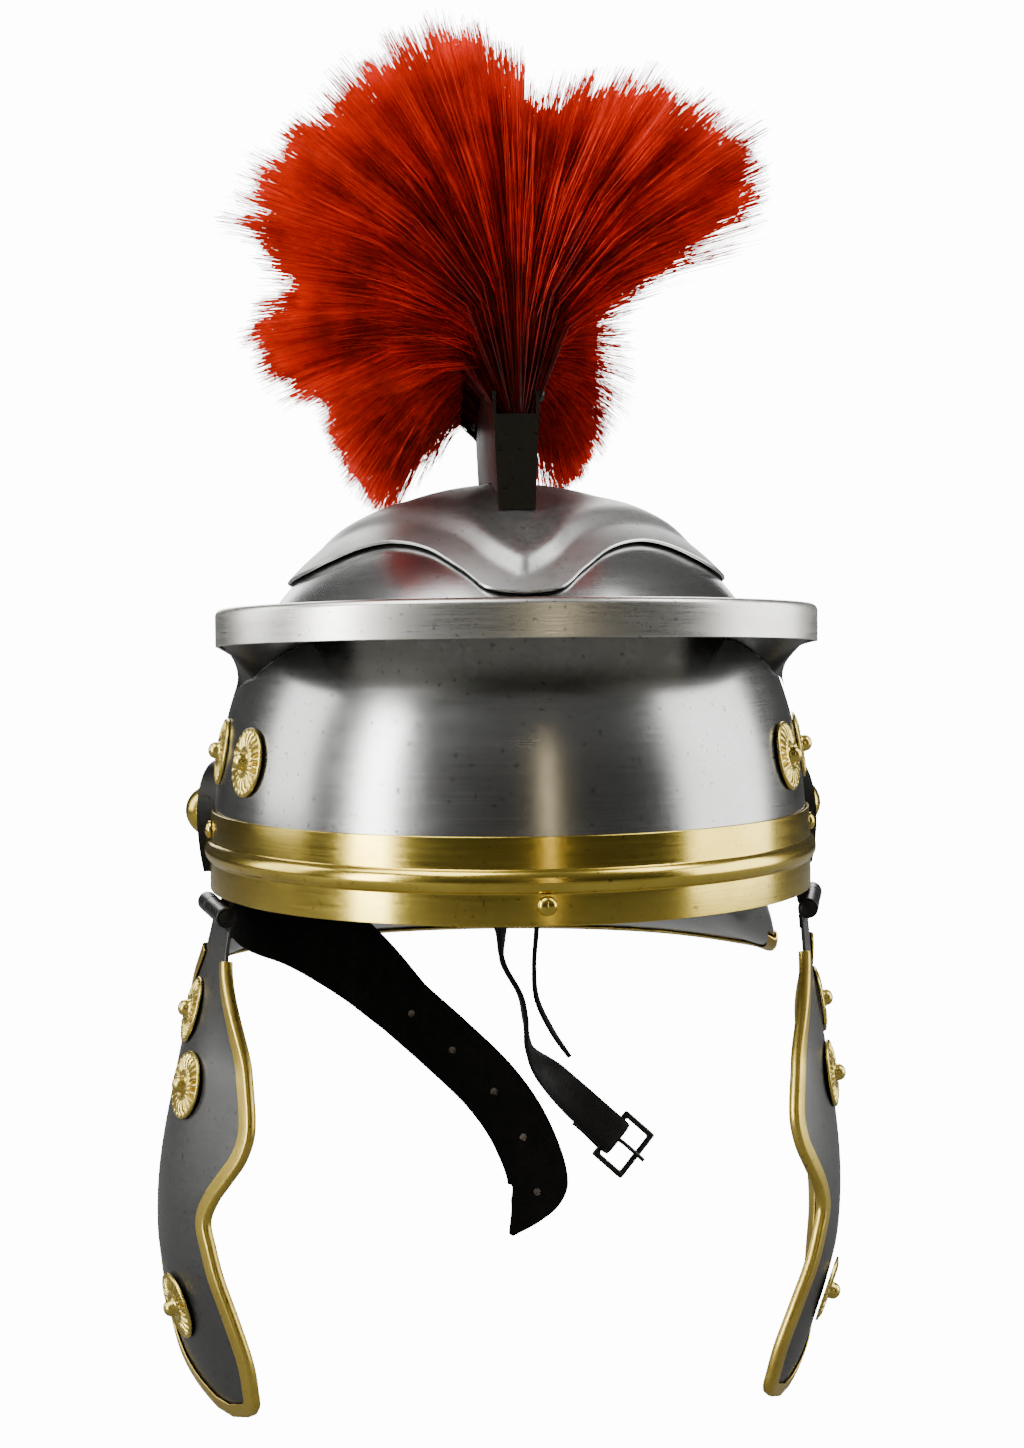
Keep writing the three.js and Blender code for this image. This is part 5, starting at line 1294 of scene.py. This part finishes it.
def ribbons_mesh(name, points, rng, thick, material):
    """One joined mesh with a narrow ribbon for each strand, and the float attribute reach."""
    count, steps = points.shape[:2]
    line = points[:, -1] - points[:, 0]
    line /= np.linalg.norm(line, axis=1)[:, None]
    aside = np.cross(line, rng.normal(0, 1, (count, 3)))
    aside /= np.linalg.norm(aside, axis=1)[:, None]
    shares = np.linspace(0, 1, steps)
    half = thick / 2 * (1 - STRAND_TAPER * shares ** 2)
    left = points - aside[:, None, :] * half[None, :, None]
    right = points + aside[:, None, :] * half[None, :, None]
    corners = np.stack([left, right], 2).reshape(-1, 3)
    corners[:, 2] += rim_height()
    base = (np.arange(count) * steps * 2)[:, None] + (np.arange(steps - 1) * 2)[None, :]
    faces = np.stack([base, base + 1, base + 3, base + 2], 2).reshape(-1, 4)
    mesh = bpy.data.meshes.new(name)
    mesh.vertices.add(len(corners))
    mesh.vertices.foreach_set("co", (corners * MM).astype(np.float32).ravel())
    mesh.loops.add(faces.size)
    mesh.loops.foreach_set("vertex_index", faces.astype(np.int32).ravel())
    mesh.polygons.add(len(faces))
    mesh.polygons.foreach_set("loop_start", (np.arange(len(faces)) * 4).astype(np.int32))
    mesh.update(calc_edges=True)
    mesh.shade_smooth()
    reach = mesh.attributes.new("reach", "FLOAT", "POINT")
    own = np.repeat(rng.normal(0, COLOUR_STRAY, count), steps * 2)
    values = np.clip(np.tile(np.repeat(shares, 2), count) + own, 0, 1)
    reach.data.foreach_set("value", values.astype(np.float32))
    mesh.materials.append(material)
    piece = bpy.data.objects.new(name, mesh)
    bpy.context.scene.collection.objects.link(piece)
    return piece


def build_hair(looks, settings):
    """Loose strands in three joined pieces over a dark inner mass, painted shade among the roots."""
    parts = [("crest_hair_front", 0.0, 0.3), ("crest_hair_middle", 0.3, 0.66),
             ("crest_hair_rear", 0.66, 1.0)]
    count = settings.strands // 1
    for i, (name, low, high) in enumerate(parts):
        points, rng = hair_strands(count, low, high, settings.seed + 10 * i, settings)
        piece = ribbons_mesh(name, points, rng, settings.thickness, looks["hair"])
        finish_piece(piece, HELMET_BODY, ["crest_plume"] if i == 0 else ())
    build_hair_core(looks)


def build_hair_core(looks):
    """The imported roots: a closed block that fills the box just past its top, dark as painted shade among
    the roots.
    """
    half = CREST_TOP_WIDTH / 2 - STEEL - FIT_GAP - 0.4
    outer, inner = [], []
    for back in spread(40, -CREST_FRONT + 2, CREST_BACK - 2):
        foot = crest_seat(back) + CREST_SIDE_HEIGHT
        row = [vec(x, back, foot) for x in spread(12, -half, half)]
        outer.append([point + vec(0, 0, 1.5 - 3 * (point.x / half) ** 2) for point in row])
        inner.append([point - vec(0, 0, 20) for point in row])
    core = make_piece("crest_hair_shade_core", sheet(outer, inner), [looks["hair_core"]], HELMET_BODY,
                      bevel=0, angle=80)
    core.data.attributes.new("reach", "FLOAT", "POINT")


# Camera and studio: the frame's long side in millimetres and its pixels
SENSOR = 36.0
FRAME_PIXELS = (1024, 1448)


def build_camera(settings):
    """The camera with its portrait frame."""
    camera = bpy.data.cameras.new("photo_camera")
    camera.sensor_fit = "VERTICAL"
    camera.sensor_height = SENSOR
    camera.sensor_width = SENSOR * FRAME_PIXELS[0] / FRAME_PIXELS[1]
    camera.lens = settings.lens
    camera.clip_start = 0.05
    camera.clip_end = 60
    holder = bpy.data.objects.new("photo_camera", camera)
    holder.location = settings.camera_place
    heading = Vector((math.sin(settings.yaw) * math.cos(settings.pitch),
                      math.cos(settings.yaw) * math.cos(settings.pitch), -math.sin(settings.pitch)))
    turn = heading.to_track_quat("-Z", "Y").to_matrix().to_4x4()
    holder.matrix_world = (Matrix.Translation(Vector(settings.camera_place)) @ turn
                           @ Matrix.Rotation(settings.roll, 4, "Z"))
    bpy.context.scene.collection.objects.link(holder)
    bpy.context.scene.camera = holder


# Name, azimuth, elevation, distance, width and height in metres, power in watts, colour
LAMPS = [
    ("left_window", -62, 4, 1.7, 0.42, 1.6, 44, (1, 1, 1)),
    ("warm_window", 10, 6, 1.9, 0.05, 1.4, 1.7, (1, 0.84, 0.52)),
    ("top_box", -60, 60, 1.6, 1.2, 0.9, 24, (1, 1, 1)),
    ("right_window", 92, 10, 1.8, 1.5, 1.4, 34, (1, 1, 1)),
    ("left_fill", -105, 18, 1.9, 0.8, 1.3, 16, (1, 1, 1)),
    ("right_high", 75, 50, 1.8, 0.8, 0.8, 16, (1, 1, 1)),
    ("rear_fill", 180, 25, 2.1, 1.6, 1.4, 40, (1, 1, 1)),
]


# Grey of the sky by height, from straight below to straight above
SKY_BELT = [(0.0, 0.3), (0.4, 0.2), (0.5, 0.06), (0.62, 0.06), (0.8, 0.16), (1.0, 0.26)]


def soft_box(name, azimuth, elevation, distance, width, height, power, colour):
    """A rectangular lamp that faces the helmet; azimuth 0 is in front of the brow, positive is +X."""
    lamp = bpy.data.lights.new(name, "AREA")
    lamp.shape = "RECTANGLE"
    lamp.size, lamp.size_y = width, height
    lamp.energy = power
    lamp.color = colour
    a, e = math.radians(azimuth), math.radians(elevation)
    aim = Vector((0, 0, -0.07))
    place = aim + distance * Vector((math.sin(a) * math.cos(e), -math.cos(a) * math.cos(e), math.sin(e)))
    turn = (aim - place).to_track_quat("-Z", "Y").to_matrix().to_4x4()
    holder = bpy.data.objects.new(name, lamp)
    holder.matrix_world = Matrix.Translation(place) @ turn
    holder.visible_camera = False
    bpy.context.scene.collection.objects.link(holder)


def show_camera(tree, lit, seen, surface):
    """Gives the camera one shader to see and everything else another."""
    path = tree.nodes.new("ShaderNodeLightPath")
    choose = tree.nodes.new("ShaderNodeMixShader")
    tree.links.new(path.outputs["Is Camera Ray"], choose.inputs["Fac"])
    tree.links.new(lit, choose.inputs[1])
    tree.links.new(seen, choose.inputs[2])
    tree.links.new(choose.outputs["Shader"], surface)


def build_studio(settings):
    """A wide pale floor, a pale sky and soft boxes round the helmet."""
    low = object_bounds()[0][2] - settings.floor_gap
    mesh = bpy.data.meshes.new("studio_floor")
    work = bmesh.new()
    bmesh.ops.create_circle(work, cap_ends=True, segments=96, radius=settings.floor_radius)
    work.to_mesh(mesh)
    work.free()
    floor = bpy.data.objects.new("studio_floor", mesh)
    floor.location.z = low
    pale, tree, shader = new_material("studio_floor_white")
    shader.inputs["Base Color"].default_value = (0.14, 0.14, 0.14, 1)
    shader.inputs["Roughness"].default_value = 0.9
    # The seen floor runs into the seen sky; what it gives the metal stays plain grey.
    bright = tree.nodes.new("ShaderNodeEmission")
    bright.inputs["Strength"].default_value = settings.backdrop
    show_camera(tree, shader.outputs["BSDF"], bright.outputs["Emission"],
                tree.nodes["Material Output"].inputs["Surface"])
    mesh.materials.append(pale)
    bpy.context.scene.collection.objects.link(floor)
    floor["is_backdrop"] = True

    world = bpy.data.worlds.new("studio_sky")
    bpy.context.scene.world = world
    world.use_nodes = True
    tree = world.node_tree
    tree.nodes.clear()
    link = tree.links.new
    seen = tree.nodes.new("ShaderNodeBackground")
    seen.inputs["Color"].default_value = (1, 1, 1, 1)
    seen.inputs["Strength"].default_value = settings.backdrop
    # The sky that lights the metal is grey, with a darker level belt as a studio has.
    place = tree.nodes.new("ShaderNodeTexCoord")
    split = tree.nodes.new("ShaderNodeSeparateXYZ")
    lit = tree.nodes.new("ShaderNodeBackground")
    lit.inputs["Strength"].default_value = settings.sky
    link(place.outputs["Generated"], split.inputs["Vector"])
    level = range_node(tree, split.outputs["Z"], -1, 1, 0, 1)
    link(ramp_node(tree, level, SKY_BELT), lit.inputs["Color"])
    out = tree.nodes.new("ShaderNodeOutputWorld")
    show_camera(tree, lit.outputs["Background"], seen.outputs["Background"], out.inputs["Surface"])

    for lamp in LAMPS:
        soft_box(*lamp)


# Settings, one operator for each group of pieces, and the panel
class HairSettings(bpy.types.PropertyGroup):
    """Sizes of the crest's hair"""
    length: bpy.props.FloatProperty(
        name="Length", description="Length of the longest hair in millimetres", min=10,
        default=113)
    strands: bpy.props.IntProperty(
        name="Strands", description="Strands in each of the three pieces", min=1000,
        default=30000)
    thickness: bpy.props.FloatProperty(
        name="Thickness", description="Width of a strand at its root in millimetres", min=0.05,
        default=0.42)
    curl: bpy.props.FloatProperty(
        name="Curl", description="How far a strand bows off its line in millimetres", min=0,
        default=1.0)
    tufts_across: bpy.props.IntProperty(
        name="Tufts across", description="Tufts across the fan", min=1,
        default=46)
    tufts_along: bpy.props.IntProperty(
        name="Tufts along", description="Tufts along the box", min=1,
        default=26)
    short_share: bpy.props.FloatProperty(
        name="Short share", description="Share of broken strands", subtype="FACTOR", min=0, max=1,
        default=0.35)
    seed: bpy.props.IntProperty(
        name="Seed", description="Start of the hair's random numbers",
        default=7)


class FinishSettings(bpy.types.PropertyGroup):
    """Colours of the helmet's finishes"""
    steel: bpy.props.FloatVectorProperty(
        name="Steel", description="Colour of the bowl's brushed steel", subtype="COLOR", size=3, min=0, max=1,
        default=(0.4, 0.4, 0.39))
    brass: bpy.props.FloatVectorProperty(
        name="Brass", description="Colour of the band and the bosses", subtype="COLOR", size=3, min=0, max=1,
        default=(0.74, 0.56, 0.1))
    leather: bpy.props.FloatVectorProperty(
        name="Leather", description="Colour of the straps", subtype="COLOR", size=3, min=0, max=1,
        default=(0.007, 0.006, 0.005))
    hair: bpy.props.FloatVectorProperty(
        name="Hair", description="Colour of the hair at its tips", subtype="COLOR", size=3, min=0, max=1,
        default=(0.85, 0.028, 0.003))


class StudioSettings(bpy.types.PropertyGroup):
    """The camera and the studio round the helmet"""
    lens: bpy.props.FloatProperty(
        name="Lens", description="Focal length of the camera", unit="CAMERA",
        default=58.87)
    camera_place: bpy.props.FloatVectorProperty(
        name="Camera", description="Place of the camera", subtype="TRANSLATION",
        default=(-0.0488, -0.7985, -0.0373))
    yaw: bpy.props.FloatProperty(
        name="Yaw", description="Heading from +Y toward +X", subtype="ANGLE",
        default=0.06258)
    pitch: bpy.props.FloatProperty(
        name="Pitch", description="How far the camera looks down", subtype="ANGLE",
        default=0.05021)
    roll: bpy.props.FloatProperty(
        name="Roll", description="Turn about the line of sight", subtype="ANGLE",
        default=-0.0087)
    backdrop: bpy.props.FloatProperty(
        name="Backdrop", description="Brightness of the sky that is seen", min=0,
        default=14.0)
    sky: bpy.props.FloatProperty(
        name="Sky", description="Brightness of the sky that lights the helmet", min=0,
        default=0.9)
    floor_gap: bpy.props.FloatProperty(
        name="Floor gap", description="How far the floor lies under the lowest point", subtype="DISTANCE",
        default=0.05)
    floor_radius: bpy.props.FloatProperty(
        name="Floor radius", description="Radius of the floor", subtype="DISTANCE",
        default=12.0)


# Materials by finish, filled by the first operator
LOOKS = {}


class HELMET_OT_materials(bpy.types.Operator):
    """Make the shared node groups and every material"""
    bl_idname = "helmet.materials"
    bl_label = "Materials"
    bl_options = {"REGISTER", "UNDO"}

    def execute(self, context):
        LOOKS.update(make_materials(context.scene.helmet_finish))
        return {"FINISHED"}


class HELMET_OT_bowl(bpy.types.Operator):
    """Build the bowl"""
    bl_idname = "helmet.bowl"
    bl_label = "Bowl"
    bl_options = {"REGISTER", "UNDO"}

    def execute(self, context):
        build_bowl(LOOKS)
        return {"FINISHED"}


class HELMET_OT_crown(bpy.types.Operator):
    """Build the crown plate with its ridges"""
    bl_idname = "helmet.crown"
    bl_label = "Crown plate"
    bl_options = {"REGISTER", "UNDO"}

    def execute(self, context):
        build_crown(LOOKS)
        return {"FINISHED"}


class HELMET_OT_peak(bpy.types.Operator):
    """Build the brow peak and the plates under its ends"""
    bl_idname = "helmet.peak"
    bl_label = "Peak"
    bl_options = {"REGISTER", "UNDO"}

    def execute(self, context):
        build_peak(LOOKS)
        return {"FINISHED"}


class HELMET_OT_band(bpy.types.Operator):
    """Build the beaded brass band"""
    bl_idname = "helmet.band"
    bl_label = "Brow band"
    bl_options = {"REGISTER", "UNDO"}

    def execute(self, context):
        build_band(LOOKS)
        return {"FINISHED"}


class HELMET_OT_neck_guard(bpy.types.Operator):
    """Build the neck guard and its edging"""
    bl_idname = "helmet.neck_guard"
    bl_label = "Neck guard"
    bl_options = {"REGISTER", "UNDO"}

    def execute(self, context):
        build_neck_guard(LOOKS)
        return {"FINISHED"}


class HELMET_OT_ears(bpy.types.Operator):
    """Build the ear guards and their bosses"""
    bl_idname = "helmet.ears"
    bl_label = "Ear guards"
    bl_options = {"REGISTER", "UNDO"}

    def execute(self, context):
        build_ears(LOOKS)
        return {"FINISHED"}


class HELMET_OT_rivets(bpy.types.Operator):
    """Build the rivet heads"""
    bl_idname = "helmet.rivets"
    bl_label = "Rivets"
    bl_options = {"REGISTER", "UNDO"}

    def execute(self, context):
        build_rivets(LOOKS)
        return {"FINISHED"}


class HELMET_OT_rosettes(bpy.types.Operator):
    """Build the rosettes and their knobs"""
    bl_idname = "helmet.rosettes"
    bl_label = "Rosettes"
    bl_options = {"REGISTER", "UNDO"}

    def execute(self, context):
        build_rosettes(LOOKS)
        return {"FINISHED"}


class HELMET_OT_cheeks(bpy.types.Operator):
    """Build the cheek guards, their edging and hinges"""
    bl_idname = "helmet.cheeks"
    bl_label = "Cheek guards"
    bl_options = {"REGISTER", "UNDO"}

    def execute(self, context):
        build_cheeks(LOOKS)
        return {"FINISHED"}


class HELMET_OT_holed_strap(bpy.types.Operator):
    """Build the strap with the holes"""
    bl_idname = "helmet.holed_strap"
    bl_label = "Holed strap"
    bl_options = {"REGISTER", "UNDO"}

    def execute(self, context):
        build_holed_strap(LOOKS)
        return {"FINISHED"}


class HELMET_OT_buckle_strap(bpy.types.Operator):
    """Build the buckle strap and its buckle"""
    bl_idname = "helmet.buckle_strap"
    bl_label = "Buckle strap"
    bl_options = {"REGISTER", "UNDO"}

    def execute(self, context):
        build_buckle_strap(LOOKS)
        return {"FINISHED"}


class HELMET_OT_tie_strap(bpy.types.Operator):
    """Build the narrow tie strap"""
    bl_idname = "helmet.tie_strap"
    bl_label = "Tie strap"
    bl_options = {"REGISTER", "UNDO"}

    def execute(self, context):
        build_tie_strap(LOOKS)
        return {"FINISHED"}


class HELMET_OT_crest_box(bpy.types.Operator):
    """Build the crest box and its pins"""
    bl_idname = "helmet.crest_box"
    bl_label = "Crest box"
    bl_options = {"REGISTER", "UNDO"}

    def execute(self, context):
        build_crest_box(LOOKS)
        return {"FINISHED"}


class HELMET_OT_hair(bpy.types.Operator):
    """Build the crest's hair over its inner mass"""
    bl_idname = "helmet.hair"
    bl_label = "Hair"
    bl_options = {"REGISTER", "UNDO"}

    def execute(self, context):
        build_hair(LOOKS, context.scene.helmet_hair)
        return {"FINISHED"}


class HELMET_OT_camera(bpy.types.Operator):
    """Place the camera"""
    bl_idname = "helmet.camera"
    bl_label = "Camera"
    bl_options = {"REGISTER", "UNDO"}

    def execute(self, context):
        build_camera(context.scene.helmet_studio)
        return {"FINISHED"}


class HELMET_OT_stage(bpy.types.Operator):
    """Build the floor, the sky and the lamps"""
    bl_idname = "helmet.stage"
    bl_label = "Stage"
    bl_options = {"REGISTER", "UNDO"}

    def execute(self, context):
        build_studio(context.scene.helmet_studio)
        return {"FINISHED"}


# In the order in which they run
OPERATORS = [
    HELMET_OT_materials, HELMET_OT_bowl, HELMET_OT_crown, HELMET_OT_peak, HELMET_OT_band,
    HELMET_OT_neck_guard, HELMET_OT_ears, HELMET_OT_rivets, HELMET_OT_rosettes, HELMET_OT_cheeks,
    HELMET_OT_holed_strap, HELMET_OT_buckle_strap, HELMET_OT_tie_strap, HELMET_OT_crest_box,
    HELMET_OT_hair, HELMET_OT_camera, HELMET_OT_stage,
]


class HELMET_PT_panel(bpy.types.Panel):
    """The helmet's settings and steps"""
    bl_label = "Helmet"
    bl_idname = "HELMET_PT_panel"
    bl_space_type = "VIEW_3D"
    bl_region_type = "UI"
    bl_category = "Helmet"

    def draw(self, context):
        scene = context.scene
        for settings, kind in ((scene.helmet_finish, FinishSettings), (scene.helmet_hair, HairSettings),
                               (scene.helmet_studio, StudioSettings)):
            for name in kind.__annotations__:
                self.layout.prop(settings, name)
        for operator in OPERATORS:
            self.layout.operator(operator.bl_idname)


CLASSES = [FinishSettings, HairSettings, StudioSettings, *OPERATORS, HELMET_PT_panel]


def register():
    for item in CLASSES:
        bpy.utils.register_class(item)
    bpy.types.Scene.helmet_finish = bpy.props.PointerProperty(type=FinishSettings)
    bpy.types.Scene.helmet_hair = bpy.props.PointerProperty(type=HairSettings)
    bpy.types.Scene.helmet_studio = bpy.props.PointerProperty(type=StudioSettings)


def unregister():
    del bpy.types.Scene.helmet_studio
    del bpy.types.Scene.helmet_hair
    del bpy.types.Scene.helmet_finish
    for item in reversed(CLASSES):
        bpy.utils.unregister_class(item)


def main():
    """Builds the whole helmet."""
    register()
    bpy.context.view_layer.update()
    bpy.ops.helmet.materials()
    bpy.ops.helmet.bowl()
    bpy.ops.helmet.crown()
    bpy.ops.helmet.peak()
    bpy.ops.helmet.band()
    bpy.ops.helmet.neck_guard()
    bpy.ops.helmet.ears()
    bpy.ops.helmet.rivets()
    bpy.ops.helmet.rosettes()
    bpy.ops.helmet.cheeks()
    bpy.ops.helmet.holed_strap()
    bpy.ops.helmet.buckle_strap()
    bpy.ops.helmet.tie_strap()
    bpy.ops.helmet.crest_box()
    bpy.ops.helmet.hair()
    bpy.ops.helmet.camera()
    bpy.ops.helmet.stage()


if __name__ == "__main__":
    main()
